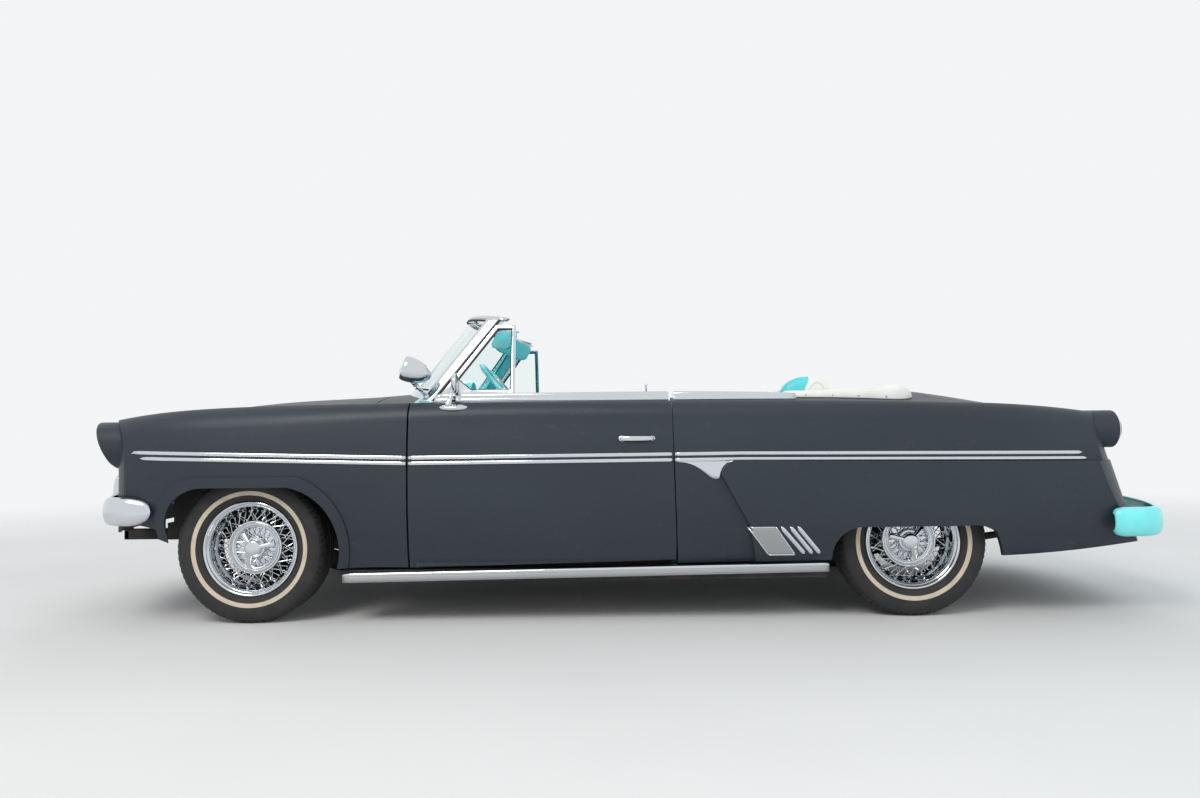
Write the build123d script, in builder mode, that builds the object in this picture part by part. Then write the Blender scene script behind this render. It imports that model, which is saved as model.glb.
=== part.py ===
from build123d import *
import math
import os

os.makedirs("parts", exist_ok=True)

# Two-door open car of the early fifties, millimetres, +X to the nose, +Y to its left side, +Z up.
# The origin is on the ground, below the middle of the overall box.

# Overall plan
LENGTH = 5037.0
WHEELBASE = 2934.0
FRONT_AXLE_X = 1693.5
REAR_AXLE_X = FRONT_AXLE_X - WHEELBASE
FRONT_TRACK = 1473.0
REAR_TRACK = 1422.0
NOSE_X = LENGTH / 2
TAIL_X = -LENGTH / 2
PANEL_GAP = 5.0
SEAT_GAP = 0.3

# Body shell
SKIN = 14.0
CABIN_HALF = 775.0
REAR_CABIN_HALF = 700.0
DOOR_FRONT_X = 977.0
COWL_REAR_X = DOOR_FRONT_X + 8.0
HOOD_REAR_X = 1180.0
HOOD_LIP_X = 2400.0
HOOD_LIP_Z = 772.0
DOOR_REAR_X = -176.0
LID_FRONT_X = -1402.0
LID_HALF = 592.0
LID_LOW_Z = 566.0
SILL_FRONT_Z = 246.0
SILL_REAR_Z = 270.0
BULGE_OUT = 24.0
BULGE_TOP_FRONT_Z = 700.0
BULGE_TOP_REAR_Z = 676.0
TRIM_OUT = 8.0
OPEN_LOW = 60.0
FOOT_RISE = 0.125
HIGH = 1600.0
WIDE = 1100.0

# Body sections: x, foot z, foot y, flank y, flank z, waist y, waist z,
# crest y, crest z, valley y, valley z, crown z
SECTIONS = [
    (2440.0, 392.0, 740.0, 800.0, 560.0, 786.0, 800.0, 715.0, 884.0, 590.0, 866.0, 884.0),
    (2150.0, 392.0, 822.0, 882.0, 560.0, 866.0, 836.0, 790.0, 928.0, 640.0, 906.0, 940.0),
    (1750.0, 244.0, 860.0, 908.0, 560.0, 890.0, 862.0, 808.0, 955.0, 660.0, 934.0, 994.0),
    (1300.0, 244.0, 868.0, 912.0, 560.0, 892.0, 876.0, 820.0, 963.0, 690.0, 952.0, 1016.0),
    (850.0, 244.0, 868.0, 910.0, 560.0, 888.0, 886.0, 828.0, 968.0, 770.0, 974.0, 1046.0),
    (0.0, 250.0, 866.0, 907.0, 560.0, 884.0, 886.0, 828.0, 966.0, 770.0, 974.0, 1026.0),
    (-700.0, 262.0, 860.0, 900.0, 560.0, 876.0, 880.0, 820.0, 962.0, 760.0, 972.0, 1030.0),
    (-1400.0, 268.0, 846.0, 888.0, 560.0, 864.0, 868.0, 800.0, 948.0, 700.0, 950.0, 1024.0),
    (-1900.0, 286.0, 806.0, 862.0, 560.0, 840.0, 836.0, 768.0, 918.0, 640.0, 896.0, 926.0),
    (-2380.0, 336.0, 740.0, 800.0, 540.0, 780.0, 780.0, 706.0, 846.0, 560.0, 796.0, 812.0),
]

# Wheels
TYRE_R = 328.0
TYRE_HALF = 102.5
BEAD_R = 190.0
RIM_LIP_R = 208.0
RIM_HALF = 88.0
OPENING_R = 166.0
HUB_RING_R = 112.0
CAP_R = 38.0
CAP_OUT = 40.0
SPOKE_PAIRS = 16
SPOKE_W = 5.0
DRUM_R = 130.0
DRUM_BACK = -72.0
DRUM_FRONT = -20.0
KINGPIN_Y = 640.0
KINGPIN_R = 18.0
KINGPIN_HALF = 140.0
SPINDLE_R = 25.0
SPINDLE_FIT = 0.05
STEERING_ARM_T = 24.0

# Chassis
RAIL_Y = 430.0
RAIL_W = 70.0
RAIL_H = 80.0
RAIL_Z = 180.0
FRONT_RAIL_Z = 330.0
KICK_Z = 420.0
TAIL_RAIL_Z = 360.0
BUMPER_ARM_W = 50.0
FLOOR_Z = RAIL_Z + RAIL_H + SEAT_GAP
FLOOR_T = 12.0
BOOT_FLOOR_Z = KICK_Z + RAIL_H + SEAT_GAP
AXLE_TUBE_R = 38.0
DIFF_R = 120.0
DIFF_HALF = 105.0


def save(piece, name):
    piece.part.label = name
    export_step(piece.part, f"parts/{name}.step")


def cross_plane(x):
    # Local x runs to the left side of the car, local y runs up
    return Plane(origin=(x, 0, 0), x_dir=(0, 1, 0), z_dir=(1, 0, 0))


def side_plane(y):
    # Local x runs to the nose, local y runs up, the normal points to the right side
    return Plane(origin=(0, y, 0), x_dir=(1, 0, 0), z_dir=(0, -1, 0))


def bowed(a, b, sag):
    # Point beside the middle of a chord, sag to the left of its direction
    dx, dy = b[0] - a[0], b[1] - a[1]
    size = math.hypot(dx, dy)
    return ((a[0] + b[0]) / 2 - dy / size * sag, (a[1] + b[1]) / 2 + dx / size * sag)


def body_section(row, grow, drop):
    """One closed cross section of the body, grown sideways by grow and lowered by drop."""
    x, foot_z, foot_y, flank_y, flank_z, waist_y, waist_z, crest_y, crest_z, valley_y, valley_z, crown_z = row
    right = [
        (foot_y + grow, foot_z - OPEN_LOW if grow < 0 else foot_z + grow * FOOT_RISE),
        (flank_y + grow, flank_z),
        (waist_y + grow, waist_z - drop),
        (crest_y + grow, crest_z - drop),
        (valley_y + grow, valley_z - drop),
    ]
    sags = [-10.0, -9.0, -17.0, 2.0]
    with BuildSketch(cross_plane(x)) as section:
        with BuildLine():
            for side in (1, -1):
                points = [(side * y, z) for y, z in right]
                for a, b, sag in zip(points, points[1:], sags):
                    ThreePointArc(a, bowed(a, b, side * sag), b)
            valley = right[-1]
            ThreePointArc(valley, (0, crown_z - drop), (-valley[0], valley[1]))
            Line(right[0], (-right[0][0], right[0][1]))
        make_face()
    return section.sketch


def body_loft(grow, drop):
    with BuildPart() as solid:
        for row in SECTIONS:
            add(body_section(row, grow, drop))
        loft()
    return solid.part


# Plan of the nose and tail, seen from above: corner arc from the flank, then the arc across the middle
NOSE_ARC = [(2332.0, 700.0), (2400.0, 0.0)]
NOSE_CORNER = [(2284.0, 806.0), (2150.0, 900.0)]
TAIL_ARC = [(-2291.0, 640.0), (-2349.0, 0.0)]
TAIL_CORNER = [(-2236.0, 775.0), (-2080.0, 905.0)]
TAIL_ARC_Z = 330.0
MASK_LOW_Z = 100.0
TAIL_LEAN = 0.317


def end_mask(middle_arc, corner_arc, shift, far_x, lean):
    """A block that reaches from far_x to one curved end of the body, moved along X by shift."""
    end, middle = [(x + shift, y) for x, y in middle_arc]
    bend, flank = [(x + shift, y) for x, y in corner_arc]
    with BuildPart() as mask:
        with BuildSketch(Plane.XY.offset(MASK_LOW_Z)):
            with BuildLine():
                for side in (1, -1):
                    ThreePointArc((end[0], side * end[1]), (bend[0], side * bend[1]),
                                  (flank[0], side * flank[1]))
                    Polyline((flank[0], side * flank[1]), (flank[0], side * WIDE), (far_x, side * WIDE))
                ThreePointArc(end, middle, (end[0], -end[1]))
                Line((far_x, WIDE), (far_x, -WIDE))
            make_face()
        direction = Vector(lean, 0, 1)
        extrude(amount=HIGH * direction.length, dir=direction)
    return mask.part


def nose_mask(inset):
    return end_mask(NOSE_ARC, NOSE_CORNER, -inset, 2 * TAIL_X, 0)


def tail_mask(inset):
    shift = inset - TAIL_LEAN * (TAIL_ARC_Z - MASK_LOW_Z)
    return end_mask(TAIL_ARC, TAIL_CORNER, shift, 2 * NOSE_X, TAIL_LEAN)


def side_prism(points, arcs=(), wide=WIDE):
    """A block seen from the side: corner points, with the middle point of each corner to corner arc."""
    with BuildPart() as prism:
        with BuildSketch(side_plane(wide)):
            with BuildLine():
                ring = points + points[:1]
                middles = dict(arcs)
                for i, (a, b) in enumerate(zip(ring, ring[1:])):
                    if i in middles:
                        ThreePointArc(a, middles[i], b)
                    else:
                        Line(a, b)
            make_face()
        extrude(amount=2 * wide)
    return prism.part


def block(low, high):
    size = [h - l for l, h in zip(low, high)]
    with BuildPart() as box:
        with Locations(tuple((l + h) / 2 for l, h in zip(low, high))):
            Box(*size)
    return box.part


def round_stage(x_from, x_to, y, z, radius):
    """A round bar along X between two stations."""
    with BuildPart() as stage:
        with BuildSketch(cross_plane(min(x_from, x_to))):
            with Locations((y, z)):
                Circle(radius)
        extrude(amount=abs(x_to - x_from))
    return stage.part


def mirrored(piece):
    with BuildPart() as both:
        mirror(piece, about=Plane.XZ)
    return both.part


# The outer and inner body forms that every panel is cut from, and the one that the tub is fitted to
FIT = SKIN + SEAT_GAP
outer_form = body_loft(0, 0) & nose_mask(0) & tail_mask(0)
inner_form = body_loft(-SKIN, SKIN) & nose_mask(SKIN) & tail_mask(SKIN)
fitted_form = body_loft(-FIT, FIT) & nose_mask(FIT) & tail_mask(FIT)
wide_form = body_loft(BULGE_OUT, 0) & nose_mask(0) & tail_mask(-BULGE_OUT / 3)


# Hinges: a leaf on each lid or door lies beside a leaf on the body, both below the skin
LEAF_T = 12.0
LEAF_Y = 400.0
LEAF_LOW_Z = 925.0
LEAF_STEP_Z = 962.0
LEAF_IN = 30.0
LEAF_OUT = 60.0


def lid_leaves(edge_x, gap_x):
    """Two leaves under the body skin on the panel that turns, from its hinged edge at edge_x."""
    away = 1 if gap_x < edge_x else -1
    with BuildPart() as leaves:
        for side in (1, -1):
            inner, outer = sorted((side * (LEAF_Y + SEAT_GAP), side * (LEAF_Y + LEAF_T)))
            low, high = sorted((edge_x - away * LEAF_IN, edge_x + away * LEAF_OUT))
            add(block((low, inner, LEAF_LOW_Z), (high, outer, LEAF_STEP_Z)))
            low, high = sorted((edge_x + away * PANEL_GAP, edge_x + away * LEAF_OUT))
            add(block((low, inner, LEAF_LOW_Z), (high, outer, HIGH)) & inner_form)
    return leaves.part


def body_leaves(edge_x, gap_x):
    """The two fixed leaves that lie beside those of a lid, from the edge of the fixed panel at gap_x."""
    away = 1 if gap_x < edge_x else -1
    with BuildPart() as leaves:
        for side in (1, -1):
            inner, outer = sorted((side * (LEAF_Y - LEAF_T), side * LEAF_Y))
            low, high = sorted((gap_x - away * LEAF_OUT, gap_x))
            add(block((low, inner, LEAF_LOW_Z), (high, outer, HIGH)) & inner_form)
    return leaves.part


def sill_z(x):
    along = (DOOR_FRONT_X - x) / (DOOR_FRONT_X - DOOR_REAR_X)
    return SILL_FRONT_Z + (SILL_REAR_Z - SILL_FRONT_Z) * along


# Hood: rolls down over the nose to the grille, seam tapers in towards the nose
HOOD_SEAM = [(HOOD_REAR_X, 680.0), (2150.0, 628.0), (2500.0, 576.0)]
COWL_HALF = 715.0
LIP_TOP = (2262.0, 918.0)
LIP_BEND = (2362.0, 880.0)


def hood_profile(inset):
    top = (LIP_TOP[0] - inset, LIP_TOP[1] - inset)
    bend = (LIP_BEND[0] - inset, LIP_BEND[1] - inset)
    low = (HOOD_LIP_X - inset, HOOD_LIP_Z + 20)
    points = [(HOOD_REAR_X, HIGH), (top[0] - 330, HIGH), (top[0] - 330, top[1] + 60), top, low,
              (low[0], HOOD_LIP_Z), (HOOD_REAR_X, HOOD_LIP_Z)]
    return side_prism(points, arcs=[(3, bend)])


def plan_prism(seam, low_z, inset=0.0):
    """A block over the car between two mirrored seams, each drawn as points from front or back."""
    with BuildPart() as prism:
        with BuildSketch(Plane.XY.offset(low_z)):
            with BuildLine():
                left = [(x, y - inset) for x, y in seam]
                right = [(x, -y) for x, y in reversed(left)]
                Polyline(*left, *right, close=True)
            make_face()
        extrude(amount=HIGH)
    return prism.part


def seam_y(x):
    # Half width of the front part of the hood seam
    (x0, y0), (x1, y1) = HOOD_SEAM[1:]
    return y0 + (y1 - y0) * (x - x0) / (x1 - x0)


with BuildPart() as hood:
    add(outer_form & hood_profile(0) & plan_prism(HOOD_SEAM, HOOD_LIP_Z, PANEL_GAP))
    add(inner_form & hood_profile(SKIN), mode=Mode.SUBTRACT)
    add(block((0, -WIDE, 0), (HOOD_REAR_X + 1, WIDE, HIGH)), mode=Mode.SUBTRACT)
    add(lid_leaves(HOOD_REAR_X, HOOD_REAR_X - PANEL_GAP))
save(hood, "hood")


# Front fenders with their wheel arches and the lamp pods at their ends
ARCH_FRONT = [(1296.0, 100.0), (1296.0, 243.0), (1502.0, 603.0), (1872.0, 603.0), (2045.0, 397.0),
              (2045.0, 100.0)]
ARCH_FRONT_BENDS = [(1, (1352.0, 520.0)), (3, (1990.0, 558.0))]
ARCH_LIP = 9.0
ARCH_LIP_WIDE = 46.0
POD_Y = 722.0
POD_Z = 789.0
POD_R = 106.0
POD_BACK_X = 2180.0
POD_TOP_X = 2404.0
POD_FLOOR_X = 2318.0
LENS_R = 88.0
FENDER_SEAM = [(COWL_REAR_X - 40, COWL_HALF)] + HOOD_SEAM


def front_arch(grow):
    points = [(x + (grow if x > FRONT_AXLE_X else -grow), z + (grow if z > 600 else 0)) for x, z in ARCH_FRONT]
    bends = [(i, (x + (grow if x > FRONT_AXLE_X else -grow) * 0.8, z + grow * 0.7))
             for i, (x, z) in ARCH_FRONT_BENDS]
    return side_prism(points, arcs=bends)


def lamp_pod(radius, front_x, lean_x):
    """A round barrel along X whose face leans, top forward."""
    with BuildPart() as pod:
        with BuildSketch(cross_plane(POD_BACK_X)):
            with Locations((POD_Y, POD_Z)):
                Circle(radius)
        extrude(amount=front_x - POD_BACK_X)
        face = [(front_x, POD_Z + radius), (front_x + 50, POD_Z + radius), (front_x + 50, POD_Z - radius - 5),
                (lean_x, POD_Z - radius - 5)]
        add(side_prism(face), mode=Mode.SUBTRACT)
    return pod.part


FRONT_LEFT = block((COWL_REAR_X, 300, 0), (NOSE_X + 200, WIDE, HIGH))

with BuildPart() as fender_left:
    add((outer_form & FRONT_LEFT) - (inner_form & FRONT_LEFT) - plan_prism(FENDER_SEAM, 0))
    flare_zone = block((FRONT_AXLE_X - 600, 500, 0), (FRONT_AXLE_X + 500, WIDE, 700))
    add((body_loft(ARCH_LIP, 0) & front_arch(ARCH_LIP_WIDE) & flare_zone) - (inner_form & FRONT_LEFT))
    add(lamp_pod(POD_R, POD_TOP_X, POD_FLOOR_X) - inner_form)
    add(front_arch(0), mode=Mode.SUBTRACT)
    add(lamp_pod(LENS_R + 4, POD_TOP_X + 20, POD_TOP_X + 20), mode=Mode.SUBTRACT)
save(fender_left, "front_fender_left")

with BuildPart() as fender_right:
    add(mirrored(fender_left.part))
save(fender_right, "front_fender_right")

# Nose panel between the fenders, with the grille opening
NOSE_BACK_X = 2210.0
NOSE_FAR_X = 2500.0
GRILLE_LOW_Z = 470.0
GRILLE_HIGH_Z = 680.0
GRILLE_HALF = 520.0
GRILLE_CORNER_R = 80.0

with BuildPart() as nose_panel:
    nose_zone = plan_prism([(NOSE_BACK_X, seam_y(NOSE_BACK_X)), (NOSE_FAR_X, seam_y(NOSE_FAR_X))], 0, SEAT_GAP)
    add((outer_form & nose_zone) - inner_form)
    add(block((NOSE_BACK_X, -WIDE, HOOD_LIP_Z - PANEL_GAP), (NOSE_X + 200, WIDE, HIGH)), mode=Mode.SUBTRACT)
    with BuildSketch(cross_plane(NOSE_BACK_X)) as grille_hole:
        with Locations((0, (GRILLE_LOW_Z + GRILLE_HIGH_Z) / 2)):
            RectangleRounded(2 * GRILLE_HALF, GRILLE_HIGH_Z - GRILLE_LOW_Z, GRILLE_CORNER_R)
    extrude(amount=400, mode=Mode.SUBTRACT)
save(nose_panel, "nose_panel")

# Grille: one bar across the opening with a round boss in its middle and a round lamp at each end
GRILLE_BAR_H = 46.0
GRILLE_BAR_D = 34.0
GRILLE_BAR_X = 2352.0
BOSS_R = 62.0
BOSS_OUT = 46.0
PARK_LAMP_R = 52.0
PARK_LAMP_Y = 440.0
PARK_LAMP_OUT = 12.0

with BuildPart() as grille:
    grille_z = (GRILLE_LOW_Z + GRILLE_HIGH_Z) / 2
    add(block((GRILLE_BAR_X - GRILLE_BAR_D, -GRILLE_HALF + SEAT_GAP, grille_z - GRILLE_BAR_H / 2),
              (GRILLE_BAR_X, GRILLE_HALF - SEAT_GAP, grille_z + GRILLE_BAR_H / 2)))
    chamfer(grille.edges().filter_by(Axis.Y).group_by(Axis.X)[-1], length=GRILLE_BAR_H / 3)
    lamps = [(0, BOSS_R, BOSS_OUT), (PARK_LAMP_Y, PARK_LAMP_R, PARK_LAMP_OUT),
             (-PARK_LAMP_Y, PARK_LAMP_R, PARK_LAMP_OUT)]
    for lamp_y, radius, out in lamps:
        with BuildSketch(cross_plane(GRILLE_BAR_X - GRILLE_BAR_D)):
            with Locations((lamp_y, grille_z)):
                Circle(radius)
        extrude(amount=GRILLE_BAR_D + out, taper=18)
save(grille, "grille")

# Cowl: the panel between hood, fenders, doors and windshield
with BuildPart() as cowl_panel:
    cowl_zone = plan_prism(FENDER_SEAM[:2], 800, SEAT_GAP)
    cowl_run = block((COWL_REAR_X, -WIDE, 700), (HOOD_REAR_X - PANEL_GAP, WIDE, HIGH))
    add((outer_form & cowl_zone & cowl_run) - (inner_form & cowl_run))
    add(body_leaves(HOOD_REAR_X, HOOD_REAR_X - PANEL_GAP))
save(cowl_panel, "cowl_panel")

# Doors
SHUT_RUN = 12.0
SHUT_BEND_Z = 700.0
SHUT_TAPER = 14.0
DOOR_LEAF_LOW_Z = (400.0, 760.0)
DOOR_LEAF_OUT = 18.0
DOOR_LEAF_Y = (800.0, 868.0)


def shut_x(z):
    # Rear edge of the door below its bend
    return DOOR_REAR_X - SHUT_RUN * (SHUT_BEND_Z - z) / (SHUT_BEND_Z - SILL_REAR_Z)


DOOR_EDGE = [(DOOR_FRONT_X, sill_z(DOOR_FRONT_X)), (DOOR_FRONT_X, HIGH), (DOOR_REAR_X + SHUT_RUN, HIGH),
             (DOOR_REAR_X, SHUT_BEND_Z), (shut_x(SILL_REAR_Z), SILL_REAR_Z)]
LEFT_OUT = block((TAIL_X, CABIN_HALF, 0), (NOSE_X, WIDE, HIGH))
with BuildPart() as door_left:
    add(outer_form & LEFT_OUT & side_prism(DOOR_EDGE))
    # The shut face tapers inwards so that the closing edge swings clear of the quarter
    for low_z, edge_x in ((0, shut_x(SILL_REAR_Z)), (SHUT_BEND_Z, DOOR_REAR_X)):
        with BuildSketch(Plane.XY.offset(low_z)):
            with BuildLine():
                far_x = edge_x - 60
                near_y = CABIN_HALF - 2
                far_y = CABIN_HALF + 130
                Polyline((edge_x, far_y), (edge_x + SHUT_TAPER, near_y), (far_x, near_y), (far_x, far_y),
                         close=True)
            make_face()
        extrude(amount=HIGH, mode=Mode.SUBTRACT)
    for low_z in DOOR_LEAF_LOW_Z:
        leaf_x = DOOR_FRONT_X + DOOR_LEAF_OUT
        add(block((DOOR_FRONT_X - 2, DOOR_LEAF_Y[0], low_z), (leaf_x, DOOR_LEAF_Y[1], low_z + LEAF_T)))
save(door_left, "door_left")
with BuildPart() as door_right:
    add(mirrored(door_left.part))
save(door_right, "door_right")

# Rear quarters: raised bulge over the low wheel opening, round lamp housing at the end
ARCH_REAR = [(-840.0, 100.0), (-863.0, 302.0), (-977.0, 407.0), (-1451.0, 407.0), (-1575.0, 382.0),
             (-1614.0, 271.0), (-1620.0, 100.0)]
ARCH_REAR_BENDS = [(1, (-902.0, 372.0)), (3, (-1524.0, 403.0)), (4, (-1598.0, 330.0))]
QUARTER_EDGE = [(DOOR_REAR_X + SHUT_RUN - PANEL_GAP, HIGH), (DOOR_REAR_X - PANEL_GAP, SHUT_BEND_Z),
                (shut_x(100.0) - PANEL_GAP, 100.0), (TAIL_X, 100.0), (TAIL_X, HIGH)]
BULGE = [(-560.0, 100.0), (-500.0, 425.0), (-381.0, 641.0), (-440.0, BULGE_TOP_FRONT_Z),
         (TAIL_X, BULGE_TOP_REAR_Z), (TAIL_X, 100.0)]
TAIL_LAMP_Y = 712.0
TAIL_LAMP_Z = 819.0
TAIL_LAMP_R = 66.0
TAIL_RING_T = 9.0
TAIL_POD_R = 84.0
TAIL_POD_X = -2172.0
TAIL_POD_ROOT_X = -1900.0
TAIL_LAMP_BACK_X = -2060.0
REAR_LEFT = block((TAIL_X, LID_HALF + PANEL_GAP, 0), (0, WIDE, HIGH))
WELL_FRONT_X = -705.0
SEAT_BACK_X = -932.0
SEAT_SIDE_Y = 648.0
rear_hollow = inner_form & block((TAIL_X, 0, 0), (WELL_FRONT_X, WIDE, HIGH))

with BuildPart() as quarter_left:
    add((outer_form & REAR_LEFT & side_prism(QUARTER_EDGE)) - rear_hollow)
    add((wide_form & REAR_LEFT & side_prism(BULGE, arcs=[(2, (-400.0, 680.0))])) - rear_hollow)
    add(round_stage(TAIL_POD_X, TAIL_POD_ROOT_X, TAIL_LAMP_Y, TAIL_LAMP_Z, TAIL_POD_R) - rear_hollow)
    add(block((WELL_FRONT_X - 2, -10, -10), (0, REAR_CABIN_HALF, HIGH)), mode=Mode.SUBTRACT)
    add(block((SEAT_BACK_X, -10, BULGE_TOP_FRONT_Z), (0, SEAT_SIDE_Y, HIGH)), mode=Mode.SUBTRACT)
    add(side_prism(ARCH_REAR, arcs=ARCH_REAR_BENDS), mode=Mode.SUBTRACT)
    pocket_r = TAIL_LAMP_R + TAIL_RING_T + SEAT_GAP
    add(round_stage(TAIL_X, TAIL_LAMP_BACK_X + SEAT_GAP, TAIL_LAMP_Y, TAIL_LAMP_Z, pocket_r),
        mode=Mode.SUBTRACT)
save(quarter_left, "quarter_left")
with BuildPart() as quarter_right:
    add(mirrored(quarter_left.part))
save(quarter_right, "quarter_right")

# Deck between the folded top and the trunk lid
DECK_HALF = LID_HALF + PANEL_GAP - SEAT_GAP
BOOT_WELL_REAR_X = -1290.0
with BuildPart() as deck_panel:
    deck_zone = block((LID_FRONT_X + PANEL_GAP, -DECK_HALF, 800), (BOOT_WELL_REAR_X, DECK_HALF, HIGH))
    add((outer_form & deck_zone) - inner_form)
    add(body_leaves(LID_FRONT_X, LID_FRONT_X + PANEL_GAP))
save(deck_panel, "deck_panel")

# Trunk lid: rolls down over the tail
LID_TURN = (-2020.0, 893.0)
LID_BEND = (-2196.0, 800.0)
LID_REAR = (-2266.0, 660.0)


def lid_profile(inset):
    points = [(LID_FRONT_X, HIGH), (LID_FRONT_X, LID_LOW_Z), (TAIL_X, LID_LOW_Z), (TAIL_X, LID_REAR[1] - 60),
              (LID_REAR[0] + inset, LID_REAR[1]), (LID_TURN[0] + inset, LID_TURN[1] - inset + 6),
              (LID_TURN[0] + 300, LID_TURN[1] + 160), (LID_TURN[0] + 300, HIGH)]
    return side_prism(points, arcs=[(4, (LID_BEND[0] + inset, LID_BEND[1] - inset))])


with BuildPart() as trunk_lid:
    lid_zone = block((TAIL_X, -LID_HALF, LID_LOW_Z), (LID_FRONT_X, LID_HALF, HIGH))
    add((outer_form & lid_profile(0) & lid_zone) - (inner_form & lid_profile(SKIN)))
    add(lid_leaves(LID_FRONT_X, LID_FRONT_X + PANEL_GAP))
save(trunk_lid, "trunk_lid")

# Tail panel below the lid, with a slot for each bumper arm
TAIL_PANEL_FRONT_X = -2150.0
ARM_SLOT = 3.0
with BuildPart() as tail_panel:
    tail_zone = block((TAIL_X, -DECK_HALF, 0), (TAIL_PANEL_FRONT_X, DECK_HALF, LID_LOW_Z - PANEL_GAP))
    add((outer_form & tail_zone) - inner_form)
    with Locations((TAIL_PANEL_FRONT_X, RAIL_Y, TAIL_RAIL_Z + BUMPER_ARM_W / 2),
                   (TAIL_PANEL_FRONT_X, -RAIL_Y, TAIL_RAIL_Z + BUMPER_ARM_W / 2)):
        Box(600, BUMPER_ARM_W + 2 * ARM_SLOT, BUMPER_ARM_W + 2 * ARM_SLOT, mode=Mode.SUBTRACT)
save(tail_panel, "tail_panel")

# Headlamps and tail lamps: a bright ring and a domed lens in each corner
TAIL_RING_X = -2182.0
HEAD_RING_X = 2352.0
HEAD_DOME = 16.0
TAIL_DOME = 28.0


with BuildPart() as lamp_rims:
    for side in (1, -1):
        add(round_stage(HEAD_RING_X - 60, HEAD_RING_X, side * POD_Y, POD_Z, LENS_R + 4 - SEAT_GAP))
        add(round_stage(HEAD_RING_X - 61, HEAD_RING_X + 1, side * POD_Y, POD_Z, LENS_R - 4), mode=Mode.SUBTRACT)
        ring_r = TAIL_LAMP_R + TAIL_RING_T
        add(round_stage(TAIL_LAMP_BACK_X, TAIL_RING_X, side * TAIL_LAMP_Y, TAIL_LAMP_Z, ring_r))
        add(round_stage(TAIL_LAMP_BACK_X + 1, TAIL_RING_X - 1, side * TAIL_LAMP_Y, TAIL_LAMP_Z, TAIL_LAMP_R),
            mode=Mode.SUBTRACT)
save(lamp_rims, "lamp_rims")


def lens(x_back, x_face, y, z, radius, dome):
    """A round lens along X with a domed face."""
    out = 1 if x_face > x_back else -1
    with BuildPart() as glass:
        with BuildSketch(Plane.XY):
            with BuildLine():
                Polyline((x_face, radius), (x_back, radius), (x_back, 0), (x_face + out * dome, 0),
                         (x_face + out * dome * 0.85, radius * 0.4), (x_face + out * dome * 0.45, radius * 0.8),
                         close=True)
            make_face()
        revolve(axis=Axis.X)
    return glass.part.moved(Location((0, y, z)))


with BuildPart() as headlamp_lenses:
    for side in (1, -1):
        add(lens(HEAD_RING_X - 50, HEAD_RING_X - 12, side * POD_Y, POD_Z, LENS_R - 4 - SEAT_GAP, HEAD_DOME))
save(headlamp_lenses, "headlamp_lenses")

with BuildPart() as tail_lamps:
    for side in (1, -1):
        add(lens(TAIL_LAMP_BACK_X - 20, TAIL_RING_X - 4, side * TAIL_LAMP_Y, TAIL_LAMP_Z, TAIL_LAMP_R - SEAT_GAP,
                 TAIL_DOME))
save(tail_lamps, "tail_lamps")

# Bumpers: a bowed channel that wraps round each corner, carried by two arms on the chassis rails
FRONT_BUMPER = {"bow_r": 2060.0, "corner_r": 130.0, "half": 926.0, "tip_x": 2096.0,
                "low_z": 441.0, "high_z": 566.0}
REAR_BUMPER = {"bow_r": 1950.0, "corner_r": 160.0, "half": 912.0, "tip_x": 2087.0,
               "low_z": 352.0, "high_z": 480.0}
BUMPER_T = 8.0
BUMPER_DEEP = 34.0


def bumper_channel(plane, radius, rise):
    """The bowed channel section, its face at local x = radius."""
    face = [(radius - BUMPER_DEEP, rise), (radius - 16, rise * 0.9), (radius - 6, rise * 0.62),
            (radius, rise * 0.24)]
    back = [(radius - BUMPER_DEEP - 3, rise - BUMPER_T), (radius - 16 - BUMPER_T, rise * 0.9 - BUMPER_T / 2),
            (radius - 6 - BUMPER_T, rise * 0.58), (radius - BUMPER_T, rise * 0.2)]
    upper = list(reversed(back)) + face
    with BuildSketch(plane) as channel:
        with BuildLine():
            Polyline(*upper, *[(x, -y) for x, y in reversed(upper)], close=True)
        make_face()
    return channel.sketch


def bumper_bar(size):
    """Front arc, corner arcs and straight flanks, all tangent, drawn towards +X."""
    bow_r, corner_r, half = size["bow_r"], size["corner_r"], size["half"]
    rise = (size["high_z"] - size["low_z"]) / 2
    middle_z = (size["high_z"] + size["low_z"]) / 2
    bow_x = NOSE_X - bow_r
    corner_y = half - corner_r
    corner_x = bow_x + math.sqrt((bow_r - corner_r) ** 2 - corner_y ** 2)
    join = math.degrees(math.asin(corner_y / (bow_r - corner_r)))
    turned = math.radians(join)
    with BuildPart() as bar:
        radial = Plane(origin=(bow_x, 0, middle_z), x_dir=(math.cos(turned), -math.sin(turned), 0),
                       z_dir=(-math.sin(turned), -math.cos(turned), 0))
        revolve(bumper_channel(radial, bow_r, rise), axis=Axis((bow_x, 0, 0), (0, 0, 1)), revolution_arc=2 * join)
        radial = Plane(origin=(corner_x, corner_y, middle_z), x_dir=(math.cos(turned), math.sin(turned), 0),
                       z_dir=(math.sin(turned), -math.cos(turned), 0))
        left_turn = revolve(bumper_channel(radial, corner_r, rise), axis=Axis((corner_x, corner_y, 0), (0, 0, 1)),
                            revolution_arc=90 - join)
        flank = Plane(origin=(corner_x, corner_y, middle_z), x_dir=(0, 1, 0), z_dir=(-1, 0, 0))
        left_flank = extrude(bumper_channel(flank, corner_r, rise), amount=corner_x - size["tip_x"])
        mirror((left_turn, left_flank), about=Plane.XZ)
    return bar.part


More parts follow.
